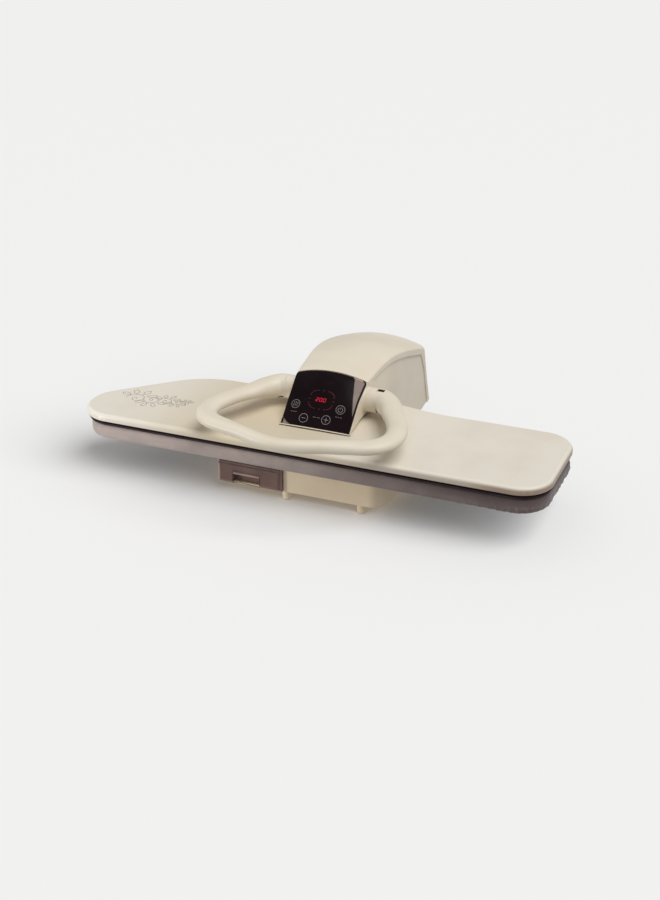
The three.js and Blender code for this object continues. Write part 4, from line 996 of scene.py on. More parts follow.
@dataclass(frozen=True)
class Arch:
    """The arched surface that the hood, the head and the control panel share.

    A row of knots gives the ridge at the sides in Y and Z. Across, the surface rises over the ridge by a
    crown vector times one less the squared share of the half width. Shares above 1 run down the rear wall.
    The ridge is worked out on a fine row, whose Z only rises over its first points.
    """

    front: float = 0.091
    bottom: float = 0.1373
    run: float = 0.3993
    rise: float = 0.093
    crown: float = 0.018
    half_width: float = 0.075
    flare_start: float = 0.150
    flare_slope: float = 0.068
    rear_rake: float = 0.036
    rear_drop: float = 0.139
    rear_crown: float = 0.006
    knot_shares: tuple[tuple[float, float], ...] = (
        (0, 0), (0.056, 0.224), (0.11, 0.449), (0.175, 0.668), (0.251, 0.865), (0.352, 0.938),
        (0.475, 1), (0.601, 0.98), (0.733, 0.875), (0.867, 0.725), (1, 0.553))
    crown_shares: tuple[float, ...] = (0.05, 0.3, 0.53, 0.74, 0.89, 0.95, 0.96, 0.95, 0.94, 0.93, 0.94)
    fine: int = 400
    fine_rear: int = 200
    rising: int = 60
    table: dict[str, Array] = field(default_factory=dict)

    def __post_init__(self) -> None:
        """Works out the ridge, its normals and its crown vectors on a fine row of shares."""
        knots = np.array(self.knot_shares) * [self.run, self.rise] + [self.front, self.bottom]
        share = np.linspace(0, 1, self.fine)
        at = share * (len(knots) - 1)
        edge = catmull_rom(knots, at)
        along = np.gradient(edge, axis=0)
        normal = np.stack([-along[:, 1], along[:, 0]], axis=1)
        normal /= np.linalg.norm(normal, axis=1)[:, None]
        crown = normal * catmull_rom(np.array(self.crown_shares)[:, None] * self.crown, at)
        down = np.linspace(0, 1, self.fine_rear)[1:, None]
        foot = knots[-1] + [self.rear_rake, -self.rear_drop]
        back = np.array([self.rear_drop, self.rear_rake]) / np.hypot(self.rear_drop, self.rear_rake)
        self.table["share"] = np.concatenate([share, 1 + down[:, 0]])
        self.table["edge"] = np.vstack([edge, knots[-1] + (foot - knots[-1]) * down])
        self.table["normal"] = np.vstack([normal, np.broadcast_to(back, (len(down), 2))])
        self.table["crown"] = np.vstack([crown, crown[-1] + (back * self.rear_crown - crown[-1]) * down])

    def ridge(self, share: Array, what: str = "edge") -> Array:
        """Y and Z of the ridge's edge, normal or crown vector at shares up to 2, read from the fine row."""
        shares, line = self.table["share"], self.table[what]
        return np.stack([np.interp(share, shares, line[:, k]) for k in (0, 1)], axis=-1)

    def half(self, y: Array) -> Array:
        """Half width of the hood at a distance from the front."""
        return self.half_width + np.maximum(0, y - self.flare_start) * self.flare_slope

    def surface(self, share: Array, x: Array, offset: Union[Array, float] = 0.0) -> Array:
        """Points of the crowned surface.

        Args:
            share: Shares of the arch.
            x: Place across, of the same shape.
            offset: Distance out along the ridge's normal.

        Returns:
            X, Y and Z of each point.
        """
        side = self.ridge(share) + self.ridge(share, "normal") * np.asarray(offset)[..., None]
        lift = 1 - (x / self.half(side[..., 0])) ** 2
        at = side + self.ridge(share, "crown") * lift[..., None]
        return np.stack([x, at[..., 0], at[..., 1]], axis=-1)


ARCH = Arch()


@dataclass
class Hood:
    """The hood over the arm and head: a crowned skin, side walls with set-in faces, and the handle's hubs."""

    wall: float = 0.003
    ridge_radius: float = 0.009
    pocket_depth: float = 0.0032
    lip_share: float = 0.025
    panel_share: float = 0.4
    lip_height: float = 0.0026
    lip_reach: float = 0.012
    underside: float = 0.152
    underside_front: float = 0.175
    rear_shares: Limits = (0.02, 0.985)
    skirt_top: tuple[float, float] = (0.286, 0.152)
    skirt_front: tuple[float, float] = (0.300, 0.040)
    skirt_rear: tuple[float, float] = (0.4913, 0.040)
    skirt_turn: float = 0.08
    recess: float = 0.0024
    recess_step: float = 0.0022
    recess_start: float = 0.47
    recess_fade: float = 0.02
    recess_room: Limits = (0.004, 0.012)
    band: float = 0.017
    band_front: float = 0.009
    rear_band: float = 0.046
    rear_start: float = 0.955
    across: int = 61
    hub_centre: tuple[float, float] = (0.190, 0.181)
    hub_radius: float = 0.0255
    hub_face: float = 0.100
    hub_root: float = 0.001
    hub_flare: float = 0.006
    hub_edge: float = 0.0012
    shaft_radius: float = 0.0055

    def stations(self) -> tuple[Array, Array]:
        """Shares along the arch, with double rows at both ends of the panel's pocket.

        Returns:
            The shares, and how far the surface lies in at each.
        """
        step = 1e-5
        edge, fine = (ARCH.table[what][:ARCH.rising] for what in ("edge", "share"))
        start = np.interp(ARCH.bottom + self.lip_height, edge[:, 1], fine)
        lip = np.linspace(start, self.lip_share, 5)
        pocket = np.linspace(self.lip_share + step, self.panel_share, 60)
        roof = np.linspace(self.panel_share + step, 1, 110)
        rows = [lip, pocket, roof, 1 + np.linspace(*self.rear_shares, 30)]
        depth = [0, self.pocket_depth, 0, 0]
        return np.concatenate(rows), np.concatenate([np.full(len(r), d) for r, d in zip(rows, depth)])

    def lower_edge(self, share: Array) -> Array:
        """Lower edge of the side wall at each share: under the head at the same Y, then round the skirt.

        Args:
            share: Shares of the arch.

        Returns:
            Y and Z of each point.
        """
        lip = ARCH.bottom + self.lip_height
        ridge = ARCH.ridge(share)
        start = ARCH.front + self.lip_reach
        head = np.interp(ridge[:, 0], [start, self.underside_front], [lip, self.underside])
        under = np.stack([ridge[:, 0], np.minimum(head, ridge[:, 1])], axis=1)
        edge, fine = (ARCH.table[what][:ARCH.fine] for what in ("edge", "share"))
        corner = np.interp(self.skirt_top[0], edge[:, 0], fine)
        stops = np.array([corner, corner + self.skirt_turn, 1.0, 2.0])
        places = np.array([self.skirt_top, self.skirt_front, self.skirt_rear, tuple(ARCH.table["edge"][-1])])
        skirt = np.stack([np.interp(share, stops, places[:, k]) for k in (0, 1)], axis=1)
        return np.where((share < corner)[:, None], under, skirt)

    def side_lines(self, share: Array, depth: Array) -> tuple[Array, Array]:
        """Lines of the side wall, from the ridge down, and how far each lies in.

        A line lies on the straight way from the ridge to the lower edge. The first lines are the band under
        the ridge, then the step down to the set-in face and its field. Lines near the rear edge run almost
        along it, so the band is measured longer there.

        Args:
            share: Shares of the arch.
            depth: How far the ridge lies in at each.

        Returns:
            Y and Z of each line at each share, and its depth.
        """
        top = ARCH.ridge(share) - ARCH.ridge(share, "normal") * depth[:, None]
        low = self.lower_edge(share)
        reach = np.maximum(np.linalg.norm(low - top, axis=1), 1e-6)
        grown = np.sqrt(np.clip((share - self.recess_start) / (1 - self.recess_start), 0, 1))
        band = self.band_front + (self.band - self.band_front) * grown
        band = band + (self.rear_band - self.band) * smoothstep(share, self.rear_start, 1.0)
        first = np.clip(band / reach, 0, 0.8)
        start, fade = self.recess_start, self.recess_fade
        present = smoothstep(share, start - fade, start + fade) * smoothstep(reach - band, *self.recess_room)
        step = np.clip(self.recess_step / reach, 0, 0.1)
        ways = [np.linspace(0.02, 1, 10)[None] * first[:, None],
                first[:, None] + step[:, None] * np.linspace(0.2, 1, 5)[None],
                (first + step)[:, None] + (1 - first - step)[:, None] * np.linspace(0.05, 1, 24)[None]]
        way = np.concatenate(ways, axis=1)
        inward = smoothstep((way - first[:, None]) / step[:, None], 0, 1)
        line = top[:, None, :] + (low - top)[:, None, :] * way[:, :, None]
        return line, inward * present[:, None] * self.recess

    def skin(self) -> Array:
        """Grid of the outer surface: a row for each share, from the left lower edge over the top.

        Near the ridge the roof rolls into the side wall along a quadratic curve, whose middle point is the
        ridge. The curve ends at the wall's third line.

        Returns:
            The grid.
        """
        share, depth = self.stations()
        top = ARCH.ridge(share) - ARCH.ridge(share, "normal") * depth[:, None]
        half = ARCH.half(top[:, 0])
        radius = np.where(depth > 0, self.ridge_radius / 8, self.ridge_radius)
        across = np.linspace(-1, 1, self.across)[None, :] * (half - radius)[:, None]
        rows, inset = (np.repeat(a[:, None], self.across, axis=1) for a in (share, -depth))
        roof = ARCH.surface(rows, across, inset)
        line, inward = self.side_lines(share, depth)
        wall_x = ARCH.half(line[..., 0]) - inward
        wall = np.concatenate([wall_x[..., None], line], axis=2)
        roll = np.linspace(0, 1, 8)[1:-1]
        ridge = np.concatenate([half[:, None], top], axis=1)[:, None, :]
        below = wall[:, 2:3, :]
        t = roll[None, :, None]
        fillet = (1 - t) ** 2 * roof[:, -1:, :] + 2 * t * (1 - t) * ridge + t ** 2 * below
        right = np.concatenate([fillet, wall[:, 2:, :]], axis=1)
        left = right[:, ::-1, :] * [-1, 1, 1]
        return np.concatenate([left, roof, right], axis=1)

    def hub(self, side: Side) -> None:
        """Makes the round boss that carries the handle's shaft at one side.

        Args:
            side: Left or right.
        """
        root, face, r = ARCH.half_width - self.hub_root, self.hub_face, self.hub_radius
        flare, edge = self.hub_flare, self.hub_edge
        turn = np.linspace(0.15, pi / 2, 8)
        bend = [(root + flare * (1 - cos(a)), r + flare * (1 - sin(a))) for a in turn]
        rim = [(face - edge + edge * sin(a), r - edge + edge * cos(a)) for a in np.linspace(0, pi / 2, 6)]
        profile = bend + rim + [(face, self.shaft_radius), (root, self.shaft_radius)]
        grid = turned([(side.value * x, q) for x, q in profile], 0, (0, *self.hub_centre), 96)
        Piece(f"handle_hub_{side.word}").grid(grid, wrap_rows=True, wrap_columns=True).build(
            CREAM, Body.ARM, "cream_plastic")

    def level_lip(self, skin: bpy.types.Object) -> None:
        """Levels the head's inner edge with its lip, so that the plate can rise under it.

        Args:
            skin: The hood's skin, with its wall.
        """
        place = np.empty(len(skin.data.vertices) * 3)
        skin.data.vertices.foreach_get("co", place)
        place = place.reshape(-1, 3)
        head = place[:, 1] < BENCH_Y + self.underside_front
        place[head, 2] = np.maximum(place[head, 2], ARCH.bottom + self.lip_height)
        skin.data.vertices.foreach_set("co", place.ravel())

    def build(self) -> None:
        """Makes the hood's skin and hubs."""
        skin = Piece("hood_skin").grid(self.skin()).build(
            CREAM, Body.ARM, "cream_plastic", 35, ["hood_shell", "hood_side_left", "hood_side_right"])
        finished(skin, 35, solidify={"thickness": self.wall, "offset": -1, "use_even_offset": False})
        self.level_lip(skin)
        for side in Side:
            self.hub(side)


@dataclass
class Panel:
    """The black control panel on the head's front, its silver backing, and what is printed and lit on it.

    The glass leaves a silver crescent bare at each side. The left one falls off exponentially with the share
    of the way up, and the right one grows with a power of it. Keys and marks are placed in X, and up as
    shares of the glass's height. The steam key's waves have a spacing, a width and a half height. The power
    key's arc has a drop, its two angles and the length of its bar.
    """

    glass_outer: float = 0.0004
    glass_inner: float = -0.0013
    bezel_inner: float = -0.0029
    gap: float = 0.0003
    low: float = 0.030
    high: float = 0.394
    crescent_left: float = 0.0215
    crescent_fall: float = 0.07
    crescent_less: float = 0.0008
    crescent_right: float = 0.0270
    crescent_start: float = 0.05
    crescent_power: float = 1.4
    border: float = 0.0030
    border_room: float = 1.5
    corner: float = 0.0055
    ink_lift: float = 0.00012
    line: float = 0.00055
    key_radius: float = 0.0092
    key_arm: float = 0.0048
    wave: Place = (0.004, 0.0011, 0.005)
    power_arc: tuple[float, float, float, float] = (0.0005, 120, 420, 0.006)
    keys: dict[str, tuple[float, float]] = field(default_factory=lambda: {
        "steam": (-0.0535, 0.35), "minus": (-0.0285, 0.13), "plus": (0.0200, 0.155),
        "power": (0.0445, 0.365)})
    dash: float = 0.003
    dash_drop: float = 0.0165
    dash_places: tuple[float, ...] = (-0.0065, -0.0015, 0.0035)
    middle_dash: float = 0.0024
    middle_up: float = 0.17
    middle_places: tuple[float, ...] = (-0.0085, -0.0045, -0.0005, 0.0035)
    digit: tuple[float, float] = (0.0050, 0.0072)
    digit_lean: float = 0.12
    digit_gap: float = 0.1
    digit_line: float = 0.0012
    digits_up: float = 0.44
    digit_step: float = 0.0078
    scale_up: float = 0.47
    scale_size: tuple[float, float] = (0.026, 0.020)
    scale_power: float = 0.6
    scale_line: float = 0.0011
    mark: float = 0.0021
    mark_turn: int = 15

    def block(self, name: str, inner: float, outer: float, left: Array, right: Array, share: Array) -> Piece:
        """Curved slab between two offsets: each row goes across outside and back inside.

        Args:
            name: Its name.
            inner: Inner offset.
            outer: Outer offset.
            left: Left limit at each share.
            right: Right limit at each share.
            share: Shares of the arch.

        Returns:
            The piece, not yet built.
        """
        way = np.linspace(0, 1, 49)[None, :]
        x = left[:, None] + (right - left)[:, None] * way
        rows = np.repeat(share[:, None], 49, axis=1)
        front = ARCH.surface(rows, x, np.full(x.shape, outer))
        back = ARCH.surface(rows, x, np.full(x.shape, inner))
        return Piece(name).grid(np.concatenate([front, back[:, ::-1]], axis=1), wrap_columns=True, caps=True)

    def on_glass(self, x: Array, up: Array) -> Array:
        """Points just above the glass.

        Args:
            x: Distance across from the middle.
            up: Distance up the panel from its lower edge, along the arch.

        Returns:
            The points.
        """
        share, length = self.middle()
        at = np.interp(up, length, share)
        return ARCH.surface(at, x, np.full(x.shape, self.glass_outer + self.ink_lift))

    def middle(self) -> tuple[Array, Array]:
        """The glass's middle line: shares of the arch, and the length up to each.

        Returns:
            The shares and the lengths.
        """
        share = np.linspace(self.low, self.high, 200)
        line = ARCH.surface(share, np.zeros(200), np.full(200, self.glass_outer))
        return share, np.concatenate([[0], np.cumsum(np.linalg.norm(np.diff(line, axis=0), axis=1))])

    @property
    def height(self) -> float:
        """Length of the glass up the arch, at its middle."""
        return float(self.middle()[1][-1])

    def strokes(self, name: str, paths: Sequence[Array], finish: Finish, slot: str, width: float) -> None:
        """Makes flat strokes on the glass.

        Args:
            name: The piece's name.
            paths: Paths as rows of X and distance up.
            finish: Its finish.
            slot: The record's slot.
            width: The stroke's width.
        """
        piece = Piece(name)
        for path in paths:
            both = stroke(path, width / 2)
            piece.grid(self.on_glass(both[..., 0], both[..., 1]))
        thing = piece.build(finish, Body.ARM, slot, 80)
        finished(thing, solidify={"thickness": INK_DEPTH, "offset": 0})

    @staticmethod
    def arc(x: float, up: float, radius: float, start: float = 0, end: float = 360,
            steps: int = 40) -> Array:
        """Part of a circle round X and up, from one angle to another: degrees from the right, upwards."""
        angle = np.radians(np.linspace(start, end, steps))
        return np.stack([x + radius * np.cos(angle), up + radius * np.sin(angle)], axis=1)

    @staticmethod
    def bar(x0: float, y0: float, x1: float, y1: float) -> Array:
        """Straight stroke from one point to another."""
        return np.linspace([x0, y0], [x1, y1], 6)

    def icons(self) -> None:
        """Makes the ringed touch keys for steam, minus, plus and power, with dashes near them."""
        h, arm = self.height, self.key_arm
        keys = {name: (x, h * up) for name, (x, up) in self.keys.items()}
        rings = [self.arc(x, y, self.key_radius) for x, y in keys.values()]
        x, y = keys["steam"]
        way, (apart, wide, high) = np.linspace(-1, 1, 16), self.wave
        waves = [np.stack([x + dx + wide * np.sin(way * pi), y + high * way], axis=1)
                 for dx in (-apart, 0, apart)]
        x, y = keys["power"]
        drop, start, end, bar = self.power_arc
        power = [self.arc(x, y - drop, arm, start, end), self.bar(x, y, x, y + bar)]
        x, y = keys["minus"]
        minus = [self.bar(x - arm, y, x + arm, y)]
        x, y = keys["plus"]
        plus = [self.bar(x - arm, y, x + arm, y), self.bar(x, y - arm, x, y + arm)]
        dashes = [self.bar(x + dx, y - self.dash_drop, x + dx + self.dash, y - self.dash_drop)
                  for x, y in (keys["steam"], keys["power"]) for dx in self.dash_places]
        level = h * self.middle_up
        middle = [self.bar(dx, level, dx + self.middle_dash, level) for dx in self.middle_places]
        self.strokes("panel_keys", rings + waves + power + minus + plus + dashes + middle, WHITE_INK,
                     "panel_glass", self.line)

    def digits(self) -> None:
        """Makes the lit digits of the display from seven bars each, leaning a little to the right."""
        wide, high = self.digit
        bars = {"a": ((0, 2), (1, 2)), "b": ((1, 1), (1, 2)), "c": ((1, 0), (1, 1)), "d": ((0, 0), (1, 0)),
                "e": ((0, 0), (0, 1)), "f": ((0, 1), (0, 2)), "g": ((0, 1), (1, 1))}
        shown = ("abged", "abcdef", "abcdef")
        base = self.height * self.digits_up
        strokes = []
        for place, letters in enumerate(shown):
            corner = [(place - len(shown) / 2) * self.digit_step, base]
            for letter in letters:
                ends = np.array(bars[letter], float) * [wide, high / 2] + corner
                ends += (ends[::-1] - ends) * self.digit_gap
                ends[:, 0] += (ends[:, 1] - base) * self.digit_lean
                strokes.append(self.bar(*ends[0], *ends[1]))
        self.strokes("display_digits", strokes, LED_LIT, "red_display", self.digit_line)

    def scale(self) -> None:
        """Makes the dim scale marks round the digits: short level bars on a rounded square.

        The square is a superellipse: each coordinate is a power of the cosine or sine, with its sign kept.
        """
        half_mark = np.array([self.mark, 0])
        axes = tuple(zip((cos, sin), self.scale_size))
        centre = [0, self.height * self.scale_up]
        marks = []
        for angle in np.radians(np.arange(0, 360, self.mark_turn)):
            out = np.array([np.sign(f(angle)) * abs(f(angle)) ** self.scale_power * r for f, r in axes])
            marks.append(np.linspace(out - half_mark, out + half_mark, 4) + centre)
        self.strokes("display_scale", marks, LED_DIM, "red_display", self.scale_line)

    def bare(self, reach: Array, limit: Array) -> Array:
        """Where the crescent between the glass's limit and the panel's reach has room for a border."""
        return reach - np.abs(limit) > self.border * self.border_room

    def borders(self, share: Array, reach: Array, left: Array, right: Array) -> None:
        """Makes the thin black edges outside the silver crescents, where the crescents are wide enough.

        Args:
            share: Shares of the arch.
            reach: Half width of the panel at each share.
            left: Left limit of the glass.
            right: Right limit of the glass.
        """
        for side, limit in ((Side.LEFT, left), (Side.RIGHT, right)):
            wide = self.bare(reach, limit)
            outer, inner = side.value * reach[wide], side.value * (reach[wide] - self.border)
            low, high = np.minimum(outer, inner), np.maximum(outer, inner)
            edge = self.block(f"panel_border_{side.word}", self.glass_inner, self.glass_outer, low, high,
                              share[wide])
            edge.build(PANEL_BLACK, Body.ARM, "panel_glass", 45)

    def build(self) -> None:
        """Makes the panel's glass, its silver backing, the keys and the display.

        The rows stand closer towards the top, where the corners are rounded by quarter circles.
        """
        way, span = np.linspace(0, 1, 110), self.high - self.low
        share = self.low + span * (1 - (1 - way) ** 2) * 0.5 + span * way * 0.5
        up = (share - self.low) / span
        edge_gap = np.minimum((1 - up) * self.height, self.corner)
        rounding = self.corner - np.sqrt(self.corner ** 2 - (self.corner - edge_gap) ** 2)
        reach = ARCH.half(ARCH.ridge(share)[:, 0]) - self.gap - rounding
        falling = self.crescent_left * np.exp(-up / self.crescent_fall)
        left = -reach + np.maximum(0, falling - self.crescent_less)
        right = reach - self.crescent_right * np.maximum(0, up - self.crescent_start) ** self.crescent_power
        left, right = (np.where(self.bare(reach, limit), limit, np.sign(limit) * reach)
                       for limit in (left, right))
        edge = {"width": 0.0004, "segments": 3, "limit_method": "ANGLE", "angle_limit": radians(50)}
        glass = self.block("panel_face", self.glass_inner, self.glass_outer, left, right, share).build(
            PANEL_BLACK, Body.ARM, "panel_glass", 45, ["panel_glass"])
        finished(glass, bevel=edge)
        backing = self.block("panel_backing", self.bezel_inner, self.glass_inner - self.gap, -reach, reach,
                             share).build(PANEL_SILVER, Body.ARM, "panel_silver", 45, ["panel_bezel"])
        finished(backing, bevel=edge)
        self.borders(share, reach, left, right)
        self.icons()
        self.digits()
        self.scale()


@dataclass
class Handle:
    """The oval locking handle: one bar from hub to hub round the front of the head."""

    hood: Hood = field(default_factory=Hood)
    span: float = 0.196
    reach: float = 0.277
    rise: float = 0.0045
    half_height: float = 0.0132
    half_width: float = 0.021
    front_half_width: float = 0.014
    power: float = 2.15
    root_span: Limits = (0, 0.13)
    front_span: Limits = (0.28, 0.42)
    edge: float = 0.0008
    gap: float = 0.0003
    notch: Place = (0.015, 0.011, 0.004)
    notch_out: float = 0.0085
    notches: tuple[tuple[Side, float, float], ...] = (
        (Side.RIGHT, 6, 0), (Side.RIGHT, 118, 0.004), (Side.LEFT, 132, 0))
    liner_depth: float = 0.0022
    liner_gap: float = 0.0002
    plan_shares: tuple[tuple[float, float], ...] = (
        (0.51, 0), (0.58, 0.012), (0.65, 0.052), (0.72, 0.12), (0.79, 0.222), (0.885, 0.34), (0.968, 0.475),
        (1, 0.6), (0.964, 0.721), (0.858, 0.803), (0.654, 0.86), (0.428, 0.917), (0.213, 0.974), (0, 1))

    def path(self) -> Array:
        """Centre line from the right hub round the front to the left hub, as evenly spaced points."""
        share = np.array(self.plan_shares)
        y, z = self.hood.hub_centre
        rise = self.rise * smoothstep(share[:, 1], 0, 0.3)
        right = np.stack([share[:, 0] * self.span, y - share[:, 1] * self.reach, z + rise], axis=1)
        right[0, 0] = self.hood.hub_face + self.gap
        left = right[-2::-1] * [-1, 1, 1]
        return evenly(centripetal(np.vstack([right, left]), 40), 420)

    def radii(self, share: Array) -> tuple[Array, Array]:
        """Half width and height along the bar: the hub's radius at both roots, a slimmer bar at the front.

        Args:
            share: Shares of the way along the bar.

        Returns:
            Half width and half height at each.
        """
        hub = self.hood.hub_radius
        near = np.minimum(share, 1 - share)
        root = 1 - smoothstep(near, *self.root_span)
        bar = self.half_width + (self.front_half_width - self.half_width) * smoothstep(near, *self.front_span)
        edge = self.edge * (1 - np.clip(near / (2 * self.edge), 0, 1))
        return bar + (hub - bar) * root - edge, self.half_height + (hub - self.half_height) * root - edge

    def build(self) -> None:
        """Makes the handle, with flat ends that face the hubs, and the notches at its roots."""
        path = self.path()
        bar = sweep(path, self.radii, 64, UP, self.power)
        bar[0, :, 0], bar[-1, :, 0] = path[0, 0], path[-1, 0]
        ring = Piece("handle_bar").grid(bar, wrap_columns=True, caps=True).build(
            CREAM, Body.HANDLE, "cream_plastic", 50, ["handle_ring"])
        self.cut_notches(ring)

    def cut_notches(self, ring: bpy.types.Object) -> None:
        """Cuts the notches at the handle's roots and lines each with black.

        A notch is a box sunk into the rim. It is placed by its side, its angle round the root in degrees,
        from the top towards the front, and how much further out it lies than the others. The black lining is
        painted shade, standing in for the dark inside of each notch.

        Args:
            ring: The bar.
        """
        hood = self.hood
        long, wide, deep = self.notch
        y, z = hood.hub_centre
        rim, over = hood.hub_radius, 0.004
        cutter, shade_liners = Piece("notch_cutters"), Piece("notch_liners")
        for side, degrees, away in self.notches:
            x, angle = side.value * (hood.hub_face + self.notch_out + away), radians(degrees)
            out, across = np.array([-sin(angle), cos(angle)]), np.array([cos(angle), sin(angle)])
            for piece, top, gap in ((cutter, rim + over, 0),
                                    (shade_liners, rim - self.liner_depth, self.liner_gap)):
                low = (x - long / 2 + gap, gap - wide / 2, rim - deep + gap)
                high = (x + long / 2 - gap, wide / 2 - gap, top)
                box = brick(low, high)
                turned_box = box[..., 1:2] * across + box[..., 2:] * out + [y, z]
                piece.grid(np.concatenate([box[..., :1], turned_box], axis=2), wrap_columns=True, caps=True)
        # Painted shade: the black liners stand in for the shade inside the notches.
        shade_liners.build(BLACK_PLASTIC, Body.HANDLE, "black_plastic")
        tool = cutter.build(BLACK_PLASTIC, Body.HANDLE, "black_plastic")
        finished(ring, 50, boolean={"operation": "DIFFERENCE", "object": tool, "solver": "EXACT"})
        bpy.data.objects.remove(tool)


@dataclass
class PlateOutline:
    """Plan of the plate, and of the board a little inside it."""

    length: float = 1.005
    depth: float = 0.272
    nose_cut: float = 0.1689
    nose_rear_radius: float = 0.1801
    nose_front_radius: float = 0.0759
    front_left_radius: float = 0.0699
    right_radius: float = 0.0661
    nose_inset: float = 0.010
    heel_inset: float = 0.0045
    side_inset: float = 0.004

    def points(self, count: int) -> Array:
        """Evenly spaced points of the plate's outline."""
        half = self.length / 2
        return RoundedOutline((
            (-half, 0, self.front_left_radius), (half, 0, self.right_radius),
            (half, self.depth, self.right_radius),
            (-half + self.nose_cut, self.depth, self.nose_rear_radius),
            (-half, self.depth - self.nose_cut, self.nose_front_radius))).points(count)

    def board(self, count: int) -> Array:
        """The board's outline: the plate's, drawn in, and more so at its ends.

        Args:
            count: How many points to give.

        Returns:
            Evenly spaced points.
        """
        plate = self.points(count)
        inner = plate - outward(plate) * self.side_inset
        length = self.length - self.nose_inset - self.heel_inset
        inner[:, 0] *= length / (self.length - 2 * self.side_inset)
        return inner + [(self.nose_inset - self.heel_inset) / 2, 0]


@dataclass
class Plate:
    """The moulded cover of the heated plate, with a scroll printed near its nose."""

    outline: PlateOutline = field(default_factory=PlateOutline)
    bottom: float = 0.1221
    thickness: float = 0.0152
    wall: float = 0.003
    edge_radius: float = 0.008
    lip_radius: float = 0.001
    hump: float = 0.009
    hump_inner: float = 0.105
    hump_outer: float = 0.225
    hump_front: float = 0.096
    hump_rear: float = 0.206
    roof_gap: float = 0.002
    fine: int = 4000
    columns: int = 260
    column_power: float = 1.6
    rows: int = 90
    front_corner: float = 0.03
    scroll_start: tuple[float, float] = (-0.436, 0.099)
    scroll_tilt: float = 8
    scroll_line: float = 0.00042
    scroll_lift: float = 0.00006
    scroll_step: float = 1.75
    spirals: tuple[tuple[float, int], ...] = ((0.023, 1), (0.019, -1), (0.016, 1), (0.013, -1), (0.009, 1))
    spiral_turn: float = 2.6 * pi
    spiral_end: float = 3.1 * pi
    dot: float = 0.0009
    leaf_leans: tuple[float, ...] = (-0.9, -0.3, 0.35, 0.95)
    leaf_bend: float = 1.3
    leaf_bow: float = 0.26

    @property
    def top(self) -> float:
        """Height of the cover's level field."""
        return self.bottom + self.thickness

    def distance(self, x: Array, y: Array) -> Array:
        """Shortest distance from points to the outline, the least over all its sides.

        Args:
            x: X of the points.
            y: Y of the points.

        Returns:
            The distances, of the same shape.
        """
        ring = self.outline.points(500)
        start, along = ring, np.roll(ring, -1, axis=0) - ring
        least = np.full(x.size, np.inf)
        at = np.stack([x.ravel(), y.ravel()], axis=1)
        for part in np.array_split(np.arange(len(ring)), 10):
            away = at[:, None, :] - start[None, part]
            share = np.clip((away * along[part]).sum(2) / (along[part] ** 2).sum(1), 0, 1)
            gap = away - share[..., None] * along[part]
            least = np.minimum(least, np.sqrt((gap ** 2).sum(2)).min(1))
        return least.reshape(x.shape)

    def height(self, x: Array, y: Array) -> Array:
        """Height of the cover's top: a quarter circle at the edge, a level field, a low rise under the head.

        Args:
            x: X of the points.
            y: Y of the points.

        Returns:
            Z of the points.
        """
        radius = self.edge_radius
        inward = np.minimum(self.distance(x, y), radius)
        edge = radius - np.sqrt(np.maximum(radius ** 2 - (radius - inward) ** 2, 0))
        along = 1 - smoothstep(np.abs(x), self.hump_inner, self.hump_outer)
        back = smoothstep(y, self.hump_front, self.hump_rear)
        return self.top - edge + self.hump * along * back * inward / radius

    def surface(self) -> Array:
        """Grid of the cover's top.

        Columns stand closer near both ends and rows closer near both sides, by a power of the share of the
        way in, so that the rounded edge has many faces and the field few.

        Returns:
            The grid, from the nose to the right end and from front to rear.
        """
        half = self.outline.length / 2
        ring = self.outline.points(self.fine)
        way = np.linspace(-1, 1, self.columns)
        x = half * np.sign(way) * (1 - (1 - np.abs(way)) ** self.column_power)
        x[0], x[-1] = -half + 1e-6, half - 1e-6
        nose = self.outline.depth - self.outline.nose_cut - self.front_corner
        front_side = ring[:, 1] < np.where(ring[:, 0] < 0, nose, self.outline.depth / 2)
        front, rear = ring[front_side], ring[~front_side]
        front, rear = (line[np.argsort(line[:, 0])] for line in (front, rear))
        low, high = (np.interp(x, line[:, 0], line[:, 1]) for line in (front, rear))
        share = np.linspace(-1, 1, self.rows)
        share = (np.sign(share) * (1 - (1 - np.abs(share)) ** 2) + 1) / 2
        y = low[:, None] + (high - low)[:, None] * share[None]
        xs = np.repeat(x[:, None], self.rows, axis=1)
        return np.stack([xs, y, self.height(xs, y)], axis=2)

    def build(self) -> None:
        """Makes the cover: the top, the upright rim below it and a turned-in lip, closed by an inner skin.

        The inner skin is the outer one, drawn in towards the middle by the wall.
        """
        top = self.surface()
        rim = np.concatenate([top[:, 0], top[-1, 1:], top[-2::-1, -1], top[0, -2:0:-1]])
        middle = np.array([0, self.outline.depth / 2, 0])
        length, depth = self.outline.length, self.outline.depth
        drawn = np.array([1 - 2 * self.wall / length, 1 - 2 * self.wall / depth, 1])
        inward = middle + (rim - middle) * drawn
        rows = [rim]
        for angle in np.linspace(0, pi / 2, 4):
            lip = rim + (inward - rim) * (self.lip_radius * (1 - cos(angle)) / self.wall)
            lip[:, 2] = self.bottom + self.lip_radius * (1 - sin(angle))
            rows.append(lip)
        inner = inward.copy()
        inner[:, 2] = self.bottom
        roof = inward.copy()
        roof[:, 2] = self.top - self.edge_radius
        skirt = np.stack([*rows, inner, roof])
        under = top.copy()
        under[..., :2] = middle[:2] + (top[..., :2] - middle[:2]) * drawn[:2]
        under[..., 2] = np.minimum(self.top - self.wall - self.roof_gap, top[..., 2])
        under[0, :, 2] = under[-1, :, 2] = under[:, 0, 2] = under[:, -1, 2] = self.top - self.edge_radius
        cover = Piece("plate_skin").grid(top).grid(skirt, wrap_columns=True).grid(under)
        cover.build(PLATE_CREAM, Body.PLATE, "cream_plastic", 60, ["plate_cover"])
        self.scroll()

